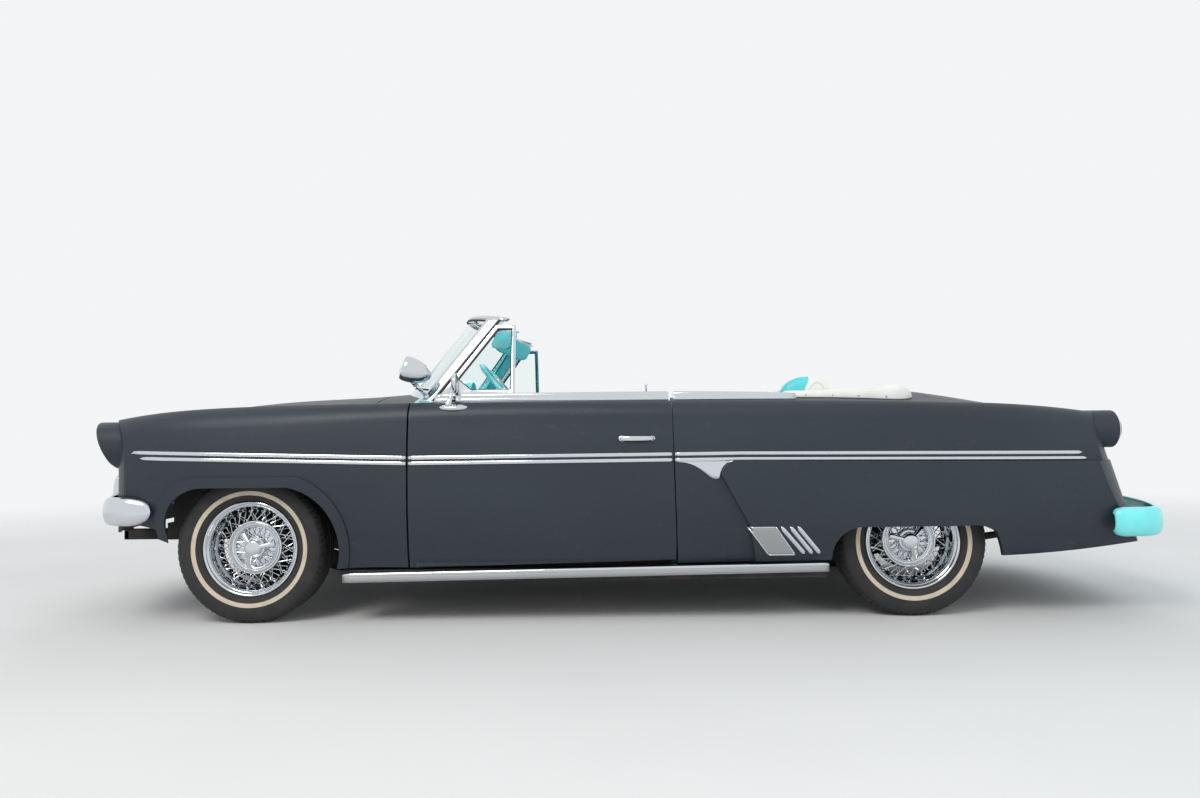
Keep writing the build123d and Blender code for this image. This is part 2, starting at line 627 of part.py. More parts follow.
ARM_PLATE_X = 2424.0
ARM_PLATE_T = 20.0
ARM_LUG_H = 30.0
RAIL_FRONT_X = 2230.0
RAIL_REAR_X = -2230.0
GUARD_Y = 430.0
GUARD_W = 46.0
GUARD_FOOT_X = 2457.0
GUARD_OUT = 50.0
GUARD_LOW_Z = 470.0
GUARD_TOP_Z = 640.0


def behind_bar(size):
    """The space behind the middle of the bar's wall, where the lugs of the arms end."""
    bow_r = size["bow_r"]
    with BuildPart() as space:
        with BuildSketch(Plane.XY):
            with Locations((NOSE_X - bow_r, 0)):
                Circle(bow_r - BUMPER_T / 2)
        extrude(amount=size["high_z"])
    return space.part


def bumper(size, rail_x, arm_z):
    """The bar on its two arms, drawn towards +X: arm, upright plate, and a lug into the bar's wall."""
    middle_z = (size["high_z"] + size["low_z"]) / 2
    with BuildPart() as made:
        add(bumper_bar(size))
        for side in (1, -1):
            low_y = side * RAIL_Y - BUMPER_ARM_W / 2
            high_y = side * RAIL_Y + BUMPER_ARM_W / 2
            arm_top = arm_z + BUMPER_ARM_W
            lug_low = middle_z - ARM_LUG_H / 2
            lug_high = middle_z + ARM_LUG_H / 2
            plate_back = ARM_PLATE_X + ARM_PLATE_T
            add(block((rail_x + SEAT_GAP, low_y, arm_z), (ARM_PLATE_X + 2, high_y, arm_top)))
            add(block((ARM_PLATE_X, low_y, arm_z), (plate_back, high_y, max(arm_top, lug_high))))
            add(block((ARM_PLATE_X, low_y, lug_low), (NOSE_X, high_y, lug_high)) & behind_bar(size))
    return made.part


with BuildPart() as front_bumper:
    add(bumper(FRONT_BUMPER, RAIL_FRONT_X, FRONT_RAIL_Z))
    for side in (1, -1):
        with BuildSketch(side_plane(side * GUARD_Y - GUARD_W / 2)):
            with BuildLine():
                nose = GUARD_FOOT_X + GUARD_OUT
                guard_foot = FRONT_BUMPER["high_z"] - 14
                Line((GUARD_FOOT_X + 14, GUARD_LOW_Z), (nose - 4, GUARD_LOW_Z))
                ThreePointArc((nose - 4, GUARD_LOW_Z), (nose + 2, 560), (nose - 18, GUARD_TOP_Z))
                Polyline((nose - 18, GUARD_TOP_Z), (nose - 42, GUARD_TOP_Z), (GUARD_FOOT_X - 4, guard_foot),
                         (GUARD_FOOT_X + 14, GUARD_LOW_Z))
            make_face()
        extrude(amount=-GUARD_W)
save(front_bumper, "front_bumper")

with BuildPart() as rear_bumper:
    mirror(bumper(REAR_BUMPER, -RAIL_REAR_X, TAIL_RAIL_Z), about=Plane.YZ)
save(rear_bumper, "rear_bumper")

# Chassis: two rails that rise over the rear axle, tied by cross members
DROP_X = [RAIL_FRONT_X, 1430.0, 1270.0, -830.0, -985.0, -1520.0, -1680.0, RAIL_REAR_X]
DROP_Z = [FRONT_RAIL_Z, FRONT_RAIL_Z, RAIL_Z, RAIL_Z, KICK_Z, KICK_Z, TAIL_RAIL_Z, TAIL_RAIL_Z]
CROSS_MEMBERS = [(2130.0, FRONT_RAIL_Z), (FRONT_AXLE_X, FRONT_RAIL_Z), (900.0, RAIL_Z), (-100.0, RAIL_Z),
                 (-760.0, RAIL_Z), (-1480.0, KICK_Z), (-2150.0, TAIL_RAIL_Z)]
CROSS_W = 90.0
CROSS_STEP = 8.0

with BuildPart() as chassis_frame:
    for side in (1, -1):
        low = list(zip(DROP_X, DROP_Z))
        high = [(x, z + RAIL_H) for x, z in reversed(low)]
        with BuildSketch(side_plane(side * RAIL_Y + RAIL_W / 2)):
            with BuildLine():
                Polyline(*low, *high, close=True)
            make_face()
        extrude(amount=RAIL_W)
    for x, z in CROSS_MEMBERS:
        add(block((x - CROSS_W / 2, -RAIL_Y, z + CROSS_STEP), (x + CROSS_W / 2, RAIL_Y, z + RAIL_H - CROSS_STEP)))
save(chassis_frame, "chassis_frame")

# Body tub: floor, sills, tunnel, firewall, hinge posts, inner front aprons and the trunk floor
APRON_Y = RAIL_Y + RAIL_W / 2 - 1
APRON_T = 10.0
FIREWALL_X = 1012.0
RISER_X = -575.0
SILL_OUT_Y = 858.0
SILL_LOW_Z = 186.0
SILL_TOP_Z = 236.0
TRUNK_HALF = 585.0
TUNNEL_R = 110.0
SILL_FRONT_X = 1262.0
SILL_BACK_X = -842.0
SILL_IN_Y = CABIN_HALF - 40.0
FLOOR_SPLIT_X = DOOR_REAR_X + PANEL_GAP
APRON_LOW_Z = FRONT_RAIL_Z + RAIL_H + SEAT_GAP
APRON_TOP_Z = 840.0
APRON_FRONT_X = 2200.0
TRUNK_WALL_REAR_X = -2100.0
TRUNK_WALL_FRONT_X = -940.0
TRUNK_WALL_TOP_Z = 800.0

with BuildPart() as body_tub:
    front_half = CABIN_HALF - 10
    rear_half = REAR_CABIN_HALF - SEAT_GAP
    floor_top = FLOOR_Z + FLOOR_T
    trunk_floor_top = BOOT_FLOOR_Z + FLOOR_T
    add(block((TAIL_X, -TRUNK_HALF, BOOT_FLOOR_Z), (RISER_X, TRUNK_HALF, trunk_floor_top)))
    add(block((FIREWALL_X - FLOOR_T, -WIDE, FLOOR_Z), (FIREWALL_X, WIDE, HIGH)))
    add(fitted_form, mode=Mode.INTERSECT)
    add(block((FLOOR_SPLIT_X, -front_half, FLOOR_Z), (FIREWALL_X, front_half, floor_top)))
    add(block((RISER_X, -rear_half, FLOOR_Z), (FLOOR_SPLIT_X, rear_half, floor_top)))
    add(block((RISER_X - FLOOR_T, -rear_half, FLOOR_Z), (RISER_X, rear_half, trunk_floor_top)))
    for side in (1, -1):
        inner, outer = sorted((side * SILL_IN_Y, side * SILL_OUT_Y))
        add(block((SILL_BACK_X, inner, SILL_LOW_Z), (SILL_FRONT_X, outer, SILL_TOP_Z)))
        inner, outer = sorted((side * SILL_IN_Y, side * front_half))
        add(block((FLOOR_SPLIT_X, inner, SILL_LOW_Z), (FIREWALL_X, outer, floor_top)))
        inner, outer = sorted((side * (APRON_Y - APRON_T), side * APRON_Y))
        add(block((FIREWALL_X - FLOOR_T, inner, APRON_LOW_Z), (APRON_FRONT_X, outer, APRON_TOP_Z)))
        inner, outer = sorted((side * (TRUNK_HALF - APRON_T), side * TRUNK_HALF))
        add(block((TRUNK_WALL_REAR_X, inner, BOOT_FLOOR_Z), (TRUNK_WALL_FRONT_X, outer, TRUNK_WALL_TOP_Z)))
        inner, outer = sorted((side * DOOR_LEAF_Y[0], side * DOOR_LEAF_Y[1]))
        for low_z in DOOR_LEAF_LOW_Z:
            leaf_top = low_z - SEAT_GAP
            add(block((COWL_REAR_X, inner, leaf_top - LEAF_T), (FIREWALL_X, outer, leaf_top)))
    with BuildSketch(cross_plane(RISER_X)):
        with Locations((0, FLOOR_Z)):
            Circle(TUNNEL_R)
            Circle(TUNNEL_R - FLOOR_T, mode=Mode.SUBTRACT)
            with Locations((0, -TUNNEL_R)):
                Rectangle(3 * TUNNEL_R, 2 * TUNNEL_R, mode=Mode.SUBTRACT)
    extrude(amount=FIREWALL_X - RISER_X)
save(body_tub, "body_tub")

# Engine as one plain block on the front cross member
ENGINE_LOW_Z = FRONT_RAIL_Z + RAIL_H - CROSS_STEP + SEAT_GAP
ENGINE_SHOULDER_Z = 560.0
ENGINE_TOP_Z = 800.0
with BuildPart() as engine_block:
    add(block((1120, -150, ENGINE_LOW_Z), (2020, 150, ENGINE_SHOULDER_Z)))
    add(block((1230, -270, ENGINE_SHOULDER_Z), (2000, 270, ENGINE_TOP_Z)))
    for side in (1, -1):
        inner, outer = sorted((side * 140, side * (RAIL_Y - RAIL_W / 2 + 5)))
        add(block((FRONT_AXLE_X - 60, inner, 500), (FRONT_AXLE_X + 60, outer, 530)))
        inner, outer = sorted((side * (RAIL_Y - RAIL_W / 2 + 5), side * (RAIL_Y - RAIL_W / 2 - 40)))
        add(block((FRONT_AXLE_X - 60, inner, FRONT_RAIL_Z + RAIL_H + SEAT_GAP), (FRONT_AXLE_X + 60, outer, 530)))
save(engine_block, "engine_block")


# Front suspension: arms from the rails to the kingpins, with a coil spring between them
ARM_EYE_R = 30.0
LOWER_ARM_T = 26.0
ARM_W = 54.0
SPRING_R = 52.0
KINGPIN_LOW_Z = TYRE_R - KINGPIN_HALF
KINGPIN_HIGH_Z = TYRE_R + KINGPIN_HALF
ARM_FOOT_Y = RAIL_Y + RAIL_W / 2

with BuildPart() as front_suspension:
    for side in (1, -1):
        kingpin = (FRONT_AXLE_X, side * KINGPIN_Y)
        for low, high, spread in ((KINGPIN_LOW_Z - SEAT_GAP - LOWER_ARM_T, KINGPIN_LOW_Z - SEAT_GAP, 150.0),
                                  (KINGPIN_HIGH_Z + SEAT_GAP, KINGPIN_HIGH_Z + SEAT_GAP + LOWER_ARM_T, 100.0)):
            with BuildSketch(Plane.XY.offset(low)):
                with Locations(kingpin):
                    Circle(ARM_EYE_R)
                for end in (1, -1):
                    foot = (FRONT_AXLE_X + end * spread, side * (ARM_FOOT_Y + SEAT_GAP))
                    with BuildLine():
                        Polyline((foot[0] - ARM_W / 2, foot[1]), (foot[0] + ARM_W / 2, foot[1]),
                                 (kingpin[0] + ARM_W / 2.4, kingpin[1]), (kingpin[0] - ARM_W / 2.4, kingpin[1]),
                                 close=True)
                    make_face()
            extrude(amount=high - low)
        low_z = KINGPIN_LOW_Z - SEAT_GAP
        with BuildSketch(Plane.XY.offset(low_z - 4)):
            with Locations((FRONT_AXLE_X, side * (ARM_FOOT_Y + SPRING_R + 4))):
                Circle(SPRING_R)
        extrude(amount=KINGPIN_HIGH_Z + SEAT_GAP + 8 - low_z)
        inner, outer = sorted((side * (ARM_FOOT_Y + SEAT_GAP), side * (ARM_FOOT_Y + 40)))
        add(block((FRONT_AXLE_X - 170, inner, low_z - LOWER_ARM_T), (FRONT_AXLE_X + 170, outer, FRONT_RAIL_Z + 40)))
save(front_suspension, "front_suspension")

# Rear axle with its differential, on two leaf springs pinned to the rails
SPRING_Y = 512.0
SPRING_W = 52.0
SPRING_T = 34.0
SPRING_FRONT_X = -640.0
SPRING_REAR_X = -1900.0
SPRING_FRONT_Z = 222.0
SPRING_REAR_Z = 352.0
REAR_WHEEL_Y = REAR_TRACK / 2
AXLE_END_Y = REAR_WHEEL_Y + DRUM_BACK - SEAT_GAP

with BuildPart() as rear_axle:
    with BuildSketch(side_plane(AXLE_END_Y)):
        with Locations((REAR_AXLE_X, TYRE_R)):
            Circle(AXLE_TUBE_R)
    extrude(amount=2 * AXLE_END_Y)
    # The differential case bulges round the middle of the tube
    with BuildSketch(Plane(origin=(REAR_AXLE_X, 0, TYRE_R), x_dir=(0, 1, 0), z_dir=(1, 0, 0))):
        with BuildLine():
            Polyline((-DIFF_HALF, 0), (-DIFF_HALF, DIFF_R * 0.5), (-DIFF_HALF * 0.6, DIFF_R * 0.88), (-16, DIFF_R),
                     (16, DIFF_R), (DIFF_HALF * 0.6, DIFF_R * 0.88), (DIFF_HALF, DIFF_R * 0.5), (DIFF_HALF, 0),
                     close=True)
        make_face()
    revolve(axis=Axis((REAR_AXLE_X, 0, TYRE_R), (0, 1, 0)))
    axle_low = TYRE_R - AXLE_TUBE_R
    for side in (1, -1):
        with BuildSketch(side_plane(side * SPRING_Y + SPRING_W / 2)):
            with BuildLine():
                ends = [(SPRING_FRONT_X, SPRING_FRONT_Z), (REAR_AXLE_X, axle_low - 8), (SPRING_REAR_X, SPRING_REAR_Z)]
                ThreePointArc(*[(x, z) for x, z in ends])
                Line((SPRING_REAR_X, SPRING_REAR_Z), (SPRING_REAR_X, SPRING_REAR_Z - SPRING_T * 0.4))
                ThreePointArc((SPRING_REAR_X, SPRING_REAR_Z - SPRING_T * 0.4), (REAR_AXLE_X, axle_low - 8 - SPRING_T),
                              (SPRING_FRONT_X, SPRING_FRONT_Z - SPRING_T * 0.4))
                Line((SPRING_FRONT_X, SPRING_FRONT_Z - SPRING_T * 0.4), (SPRING_FRONT_X, SPRING_FRONT_Z))
            make_face()
        extrude(amount=SPRING_W)
        add(block((REAR_AXLE_X - 45, side * SPRING_Y - SPRING_W / 2, axle_low - 16),
                  (REAR_AXLE_X + 45, side * SPRING_Y + SPRING_W / 2, TYRE_R)))
        for eye_x, eye_z in ((SPRING_FRONT_X, SPRING_FRONT_Z), (SPRING_REAR_X, SPRING_REAR_Z)):
            inner = side * (RAIL_Y + RAIL_W / 2 + SEAT_GAP)
            outer = side * (SPRING_Y + SPRING_W / 2)
            with BuildSketch(side_plane(max(inner, outer))):
                with Locations((eye_x, eye_z)):
                    Circle(24)
            extrude(amount=abs(outer - inner))
save(rear_axle, "rear_axle")

# Exhaust: a pipe along the left rail with a round silencer, hung under the cross members
EXHAUST_Y = 300.0
EXHAUST_Z = 158.0
PIPE_R = 26.0
SILENCER_R = 62.0
with BuildPart() as exhaust:
    for x_from, x_to, radius in ((1180.0, -900.0, PIPE_R), (640.0, 20.0, SILENCER_R)):
        add(round_stage(x_from, x_to, EXHAUST_Y, EXHAUST_Z, radius))
    for x, z in CROSS_MEMBERS[2:5]:
        add(block((x - 15, EXHAUST_Y - 12, EXHAUST_Z), (x + 15, EXHAUST_Y + 12, z + CROSS_STEP - SEAT_GAP)))
save(exhaust, "exhaust")

# Seats: plain cushions and backs
SEAT_HALF = 665.0
REAR_SEAT_HALF = 640.0
SEAT_ROUND = 22.0


def seat(cushion, back, half):
    """Both outlines are drawn from the side and made one width."""
    with BuildPart() as made:
        for outline in (cushion, back):
            with BuildSketch(side_plane(half)):
                with BuildLine():
                    Polyline(*outline, close=True)
                make_face()
                fillet(vertices(), radius=SEAT_ROUND)
            extrude(amount=2 * half)
        with BuildSketch(cross_plane(-1000)):
            with Locations((0, FLOOR_Z)):
                Circle(TUNNEL_R + SEAT_GAP)
        extrude(amount=2000, mode=Mode.SUBTRACT)
    return made.part


SEAT_FLOOR_Z = FLOOR_Z + FLOOR_T + SEAT_GAP
REAR_SEAT_X = RISER_X + SEAT_GAP
REAR_SEAT_Z = BOOT_FLOOR_Z + FLOOR_T + SEAT_GAP
with BuildPart() as front_seat:
    add(seat([(560, SEAT_FLOOR_Z), (600, 520), (10, 470), (-50, SEAT_FLOOR_Z)],
             [(110, 400), (-5, 1000), (-120, 1000), (-60, 380)], SEAT_HALF))
save(front_seat, "front_seat")

with BuildPart() as rear_seat:
    add(seat([(-300, SEAT_FLOOR_Z), (-290, 545), (REAR_SEAT_X, 560), (REAR_SEAT_X, SEAT_FLOOR_Z)],
             [(-540, REAR_SEAT_Z), (-770, 1060), (-920, 1060), (-800, REAR_SEAT_Z)], REAR_SEAT_HALF))
save(rear_seat, "rear_seat")

# Windshield: one curved pane in a bright frame, drawn between a foot arc and a head arc
FOOT_END = (915.0, 744.0, 960.0)
FOOT_MIDDLE = (1136.0, 0.0, 1010.0)
HEAD_END = (597.0, 640.0, 1368.0)
HEAD_MIDDLE = (822.0, 0.0, 1421.0)
FRAME_T = 30.0
GLASS_T = 6.0
FRAME_W = 34.0


def tilted_arc_face(end, middle, thickness):
    """A crescent in the tilted plane of one arc, thickness deep."""
    rise = Vector(middle[0] - end[0], 0, middle[2] - end[2])
    depth = rise.length
    forward = rise.normalized()
    plane = Plane(origin=(end[0], 0, end[2]), x_dir=(0, 1, 0), z_dir=Vector(0, 1, 0).cross(forward))
    half = end[1]
    with BuildSketch(plane) as crescent:
        with BuildLine():
            ThreePointArc((-half, 0), (0, depth), (half, 0))
            Line((half, 0), (half, -thickness))
            ThreePointArc((half, -thickness), (0, depth - thickness), (-half, -thickness))
            Line((-half, -thickness), (-half, 0))
        make_face()
    return crescent.sketch


def screen_shell(thickness):
    with BuildPart() as shell:
        add(tilted_arc_face(FOOT_END, FOOT_MIDDLE, thickness))
        add(tilted_arc_face(HEAD_END, HEAD_MIDDLE, thickness))
        loft(ruled=True)
    return shell.part


def screen_opening(gap):
    """The glazed opening, seen from the front, cut right through along X."""
    w = FRAME_W + gap
    with BuildPart() as opening:
        with BuildSketch(cross_plane(0)):
            with BuildLine():
                foot = (FOOT_END[1] - w - 4, FOOT_END[2] + w + 14)
                head = (HEAD_END[1] - w + 4, HEAD_END[2] - w)
                ThreePointArc((-foot[0], foot[1]), (0, FOOT_MIDDLE[2] + w + 14), foot)
                Line(foot, head)
                ThreePointArc(head, (0, HEAD_MIDDLE[2] - w), (-head[0], head[1]))
                Line((-head[0], head[1]), (-foot[0], foot[1]))
            make_face()
            fillet(vertices(), radius=30 - gap)
        extrude(amount=NOSE_X)
    return opening.part


body_seat = outer_form.moved(Location((0, 0, SEAT_GAP)))
with BuildPart() as windshield_frame:
    add(screen_shell(FRAME_T) - screen_opening(0) - body_seat)
save(windshield_frame, "windshield_frame")

with BuildPart() as windshield_glass:
    pane = screen_shell((FRAME_T + GLASS_T) / 2) - screen_shell((FRAME_T - GLASS_T) / 2)
    add(pane & screen_opening(SEAT_GAP))
save(windshield_glass, "windshield_glass")

# Dashboard across the cabin, and the fixed steering column below it
DASH_FRONT_X = COWL_REAR_X - SEAT_GAP
DASH_HALF = CABIN_HALF - 7.0
DASH = [(DASH_FRONT_X, 1100), (905, 1100), (880, 1000), (800, 960), (812, 850), (860, 800), (DASH_FRONT_X, 800)]
WHEEL_CENTRE = (581.0, 370.0, 1000.0)
COLUMN_LEAN = 42.0
COLUMN_R = 30.0
STEER_RIM_R = 215.0
STEER_TUBE_R = 11.0
STEER_HUB_R = 38.0
COLUMN_GAP = 1.0
STEER_HUB_BACK = 45.0
COLUMN_LENGTH = 545.0

with BuildPart() as dashboard:
    with BuildSketch(side_plane(DASH_HALF)):
        with BuildLine():
            Polyline(*DASH, close=True)
        make_face()
    extrude(amount=2 * DASH_HALF)
    add(outer_form, mode=Mode.INTERSECT)
    lean = math.radians(COLUMN_LEAN)
    steer_plane = Plane(origin=WHEEL_CENTRE, x_dir=(0, 1, 0), z_dir=(-math.cos(lean), 0, math.sin(lean)))
    with BuildSketch(steer_plane.offset(-STEER_HUB_BACK)):
        Circle(COLUMN_R)
    extrude(amount=-COLUMN_LENGTH)
    add(block((840, WHEEL_CENTRE[1] - 26, 745), (900, WHEEL_CENTRE[1] + 26, 806)))
    add(block((DASH_FRONT_X, 0, 0), (FIREWALL_X + 300, WIDE, HIGH)), mode=Mode.SUBTRACT)
save(dashboard, "dashboard")

with BuildPart() as steering_rim:
    with BuildSketch(Plane.XZ):
        with Locations((STEER_RIM_R, 0)):
            RegularPolygon(STEER_TUBE_R, 8)
    revolve(axis=Axis.Z)

with BuildPart() as steering_wheel:
    add(steering_rim.part.moved(steer_plane.location))
    with BuildSketch(steer_plane.offset(COLUMN_GAP - STEER_HUB_BACK)):
        Circle(STEER_HUB_R)
    extrude(amount=40)
    with BuildSketch(steer_plane.offset(-8)):
        Rectangle(2 * STEER_RIM_R - 2, 26)
        with Locations((0, -STEER_RIM_R / 2)):
            Rectangle(26, STEER_RIM_R - 2)
    extrude(amount=12)
save(steering_wheel, "steering_wheel")

# Sun visors below the head of the frame
VISOR_T = 10.0
VISOR_X = (560.0, 690.0)
VISOR_Y = (80.0, 430.0)
VISOR_Z = 1350.0
VISOR_ARM_X = 800.0
VISOR_ARM_Y = 140.0
VISOR_ARM_W = 18.0
with BuildPart() as sun_visors:
    for side in (1, -1):
        inner, outer = sorted((side * VISOR_Y[0], side * VISOR_Y[1]))
        add(block((VISOR_X[0], inner, VISOR_Z), (VISOR_X[1], outer, VISOR_Z + VISOR_T)))
        inner, outer = side * VISOR_ARM_Y - VISOR_ARM_W / 2, side * VISOR_ARM_Y + VISOR_ARM_W / 2
        add(block((VISOR_X[1] - 10, inner, VISOR_Z), (VISOR_ARM_X, outer, VISOR_Z + VISOR_T)))
        add(block((VISOR_ARM_X - VISOR_ARM_W, inner, VISOR_Z), (VISOR_ARM_X, outer, VISOR_Z + 50)))
    add(windshield_frame.part.moved(Location((0, 0, -SEAT_GAP))), mode=Mode.SUBTRACT)
save(sun_visors, "sun_visors")

# Folded top under its cover: it lies on the body round the well behind the rear seat
BOOT_HALF = 744.0
BOOT_FRONT_X = -690.0
BOOT_REAR_X = -1324.0
BOOT_CORNER_R = 150.0
BOOT_TOP_Z = 1046.0
with BuildPart() as top_boot:
    with BuildSketch(Plane.XY.offset(900)):
        with BuildLine():
            Polyline((SEAT_BACK_X, SEAT_SIDE_Y), (BOOT_FRONT_X, SEAT_SIDE_Y), (BOOT_FRONT_X, BOOT_HALF),
                     (BOOT_REAR_X + BOOT_CORNER_R, BOOT_HALF - 20))
            ThreePointArc((BOOT_REAR_X + BOOT_CORNER_R, BOOT_HALF - 20), (BOOT_REAR_X + 48, BOOT_HALF - 66),
                          (BOOT_REAR_X + 10, BOOT_HALF - BOOT_CORNER_R - 10))
            ThreePointArc((BOOT_REAR_X + 10, BOOT_HALF - BOOT_CORNER_R - 10), (BOOT_REAR_X - 20, 0),
                          (BOOT_REAR_X + 10, BOOT_CORNER_R + 10 - BOOT_HALF))
            ThreePointArc((BOOT_REAR_X + 10, BOOT_CORNER_R + 10 - BOOT_HALF), (BOOT_REAR_X + 48, 66 - BOOT_HALF),
                          (BOOT_REAR_X + BOOT_CORNER_R, 20 - BOOT_HALF))
            Polyline((BOOT_REAR_X + BOOT_CORNER_R, 20 - BOOT_HALF), (BOOT_FRONT_X, -BOOT_HALF),
                     (BOOT_FRONT_X, -SEAT_SIDE_Y), (SEAT_BACK_X, -SEAT_SIDE_Y), (SEAT_BACK_X, SEAT_SIDE_Y))
        make_face()
    extrude(amount=300)
    crown_outline = [(BOOT_REAR_X - 40, 900), (BOOT_REAR_X - 40, BOOT_TOP_Z - 20), (BOOT_FRONT_X + 10, 1020),
                     (BOOT_FRONT_X + 10, 900)]
    crown = side_prism(crown_outline, arcs=[(1, (-1060.0, BOOT_TOP_Z + 30))])
    add(crown, mode=Mode.INTERSECT)
    add(body_seat, mode=Mode.SUBTRACT)
save(top_boot, "top_boot")

# Lamp on the left pillar foot and its arm
SPOT_CENTRE = (958.0, 792.0, 1104.0)
SPOT_R = 64.0
SPOT_LENGTH = 138.0
SPOT_SHELL = [(0.5, 0.0), (0.5, 1.0), (0.36, 1.0), (0.1, 0.95), (-0.2, 0.75), (-0.4, 0.42), (-0.5, 0.0)]
with BuildPart() as spot_bullet:
    with BuildSketch(Plane.XY):
        with BuildLine():
            Polyline(*[(SPOT_LENGTH * x, SPOT_R * r) for x, r in SPOT_SHELL], close=True)
        make_face()
    revolve(axis=Axis.X)
spot_body = spot_bullet.part.moved(Location(SPOT_CENTRE, (0, -8, 12)))
arm_top = Vector(*SPOT_CENTRE)
arm_foot = Vector(FOOT_END[0] - 30, FOOT_END[1] - 19, FOOT_END[2] + 30)
arm_run = arm_foot - arm_top
with BuildPart() as spotlight:
    add(spot_body)
    with BuildSketch(Plane(origin=arm_top, z_dir=arm_run.normalized())):
        Circle(11)
    extrude(amount=arm_run.length)
    add(windshield_frame.part, mode=Mode.SUBTRACT)
    add(body_seat, mode=Mode.SUBTRACT)
save(spotlight, "spotlight")

# Bright trim on the flanks: spear, stone shields, belt mouldings and rocker mouldings
trim_form = body_loft(TRIM_OUT, 0)
trim_seat = body_loft(SEAT_GAP, 0)
SPEAR_HALF = 9.0
SPEAR_Z = [(2200.0, 748.0), (980.0, 714.0), (-470.0, 719.0), (-1990.0, 706.0)]
SPEAR_STEP = 24.0
ROCKER_IN_Y = SILL_OUT_Y + SEAT_GAP
ROCKER_OUT_Y = 882.0
ROCKER_FRONT = (1270.0, 183.0, 226.0)
ROCKER_REAR = (-848.0, 212.0, 254.0)


def spear_prism(offset_z, half):
    up = [(x, z + offset_z + half) for x, z in SPEAR_Z]
    low = [(x, z + offset_z - half) for x, z in reversed(SPEAR_Z)]
    return side_prism(up + low)


spears = spear_prism(SPEAR_STEP / 2, SPEAR_HALF * 0.6) + spear_prism(-SPEAR_STEP / 2, SPEAR_HALF * 0.6)
LEFT = block((TAIL_X, 300, 0), (NOSE_X, WIDE, HIGH))
front_zone = block((DOOR_FRONT_X + 9, 300, 0), (NOSE_X, WIDE, HIGH))
rear_zone = block((TAIL_X, 300, 0), (DOOR_REAR_X - 9, WIDE, HIGH))
door_spear = (trim_form & LEFT & spears & side_prism(DOOR_EDGE)) - trim_seat
fender_spear = (trim_form & front_zone & spears) - trim_seat
quarter_spear = (trim_form & rear_zone & spears) - trim_seat

# Stone shield: a slanted plate on the bulge behind the door, with three raised slashes
SHIELD = [(-494.0, 411.0), (-584.0, 290.0), (-698.0, 290.0), (-613.0, 411.0)]
SLASHES = [(-630.0, -731.0), (-669.0, -765.0), (-702.0, -798.0)]
SLASH_W = 20.0
SHIELD_OUT = 4.0
shields = side_prism(SHIELD)
for top_x, low_x in SLASHES:
    slash = [(top_x, SHIELD[0][1]), (low_x, SHIELD[1][1]), (low_x - SLASH_W, SHIELD[1][1]),
             (top_x - SLASH_W, SHIELD[0][1])]
    shields = shields + side_prism(slash)
shield_form = body_loft(BULGE_OUT + SHIELD_OUT, 0)
shield_plates = (shield_form & LEFT & shields) - body_loft(BULGE_OUT + SEAT_GAP, 0)

with BuildPart() as side_trim:
    for piece in (fender_spear, quarter_spear, shield_plates):
        add(piece)
    mirror(about=Plane.XZ)
save(side_trim, "side_trim")

with BuildPart() as rocker_trim:
    for side in (1, -1):
        front_x, front_low, front_high = ROCKER_FRONT
        rear_x, rear_low, rear_high = ROCKER_REAR
        with BuildSketch(side_plane(max(side * ROCKER_IN_Y, side * ROCKER_OUT_Y))):
            with BuildLine():
                Polyline((front_x, front_low), (front_x, front_high), (rear_x, rear_high), (rear_x, rear_low),
                         close=True)
            make_face()
        extrude(amount=ROCKER_OUT_Y - ROCKER_IN_Y)
save(rocker_trim, "rocker_trim")

# Door trim: spear, belt moulding, pull handle and the fixed vent window frame, with the door mirror
BELT_IN_Y = CABIN_HALF
BELT_OUT_Y = 800.0
BELT_TOP_Z = 1008.0
VENT_POST_X = 522.0
VENT_TOP_Z = 1326.0
VENT_FRONT = [(862.0, 985.0), (612.0, VENT_TOP_Z)]
VENT_BAR = 16.0
VENT_T = 18.0
VENT_LEAN = 0.26
VENT_FOOT_Y = 778.0
HANDLE_X = -60.0
HANDLE_Z = 800.0
MIRROR_X = 785.0
MIRROR_R = 44.0
MIRROR_Z = 1052.0


def vent_prism(points, low_y, high_y):
    """A block that leans in with the glass: drawn upright at the belt, then turned about it."""
    with BuildPart() as made:
        with BuildSketch(side_plane(high_y)):
            with BuildLine():
                Polyline(*points, close=True)
            make_face()
        extrude(amount=high_y - low_y)
    lean = math.degrees(math.atan(VENT_LEAN))
    belt = Axis((0, VENT_FOOT_Y, BELT_TOP_Z), (1, 0, 0))
    return made.part.rotate(belt, lean)


vent_outer = [(VENT_POST_X, BELT_TOP_Z - 20), (VENT_FRONT[0][0] - 15, BELT_TOP_Z - 20), VENT_FRONT[0], VENT_FRONT[1],
              (VENT_POST_X, VENT_TOP_Z)]
vent_inner = [(VENT_POST_X + VENT_BAR, BELT_TOP_Z + 8), (VENT_FRONT[0][0] - 42, BELT_TOP_Z + 8),
              (VENT_FRONT[1][0] - 10, VENT_TOP_Z - VENT_BAR), (VENT_POST_X + VENT_BAR, VENT_TOP_Z - VENT_BAR)]
vent_glass_shape = [(x + (SEAT_GAP if x < 560 else -SEAT_GAP), z + (SEAT_GAP if z < 1200 else -SEAT_GAP))
                    for x, z in vent_inner]

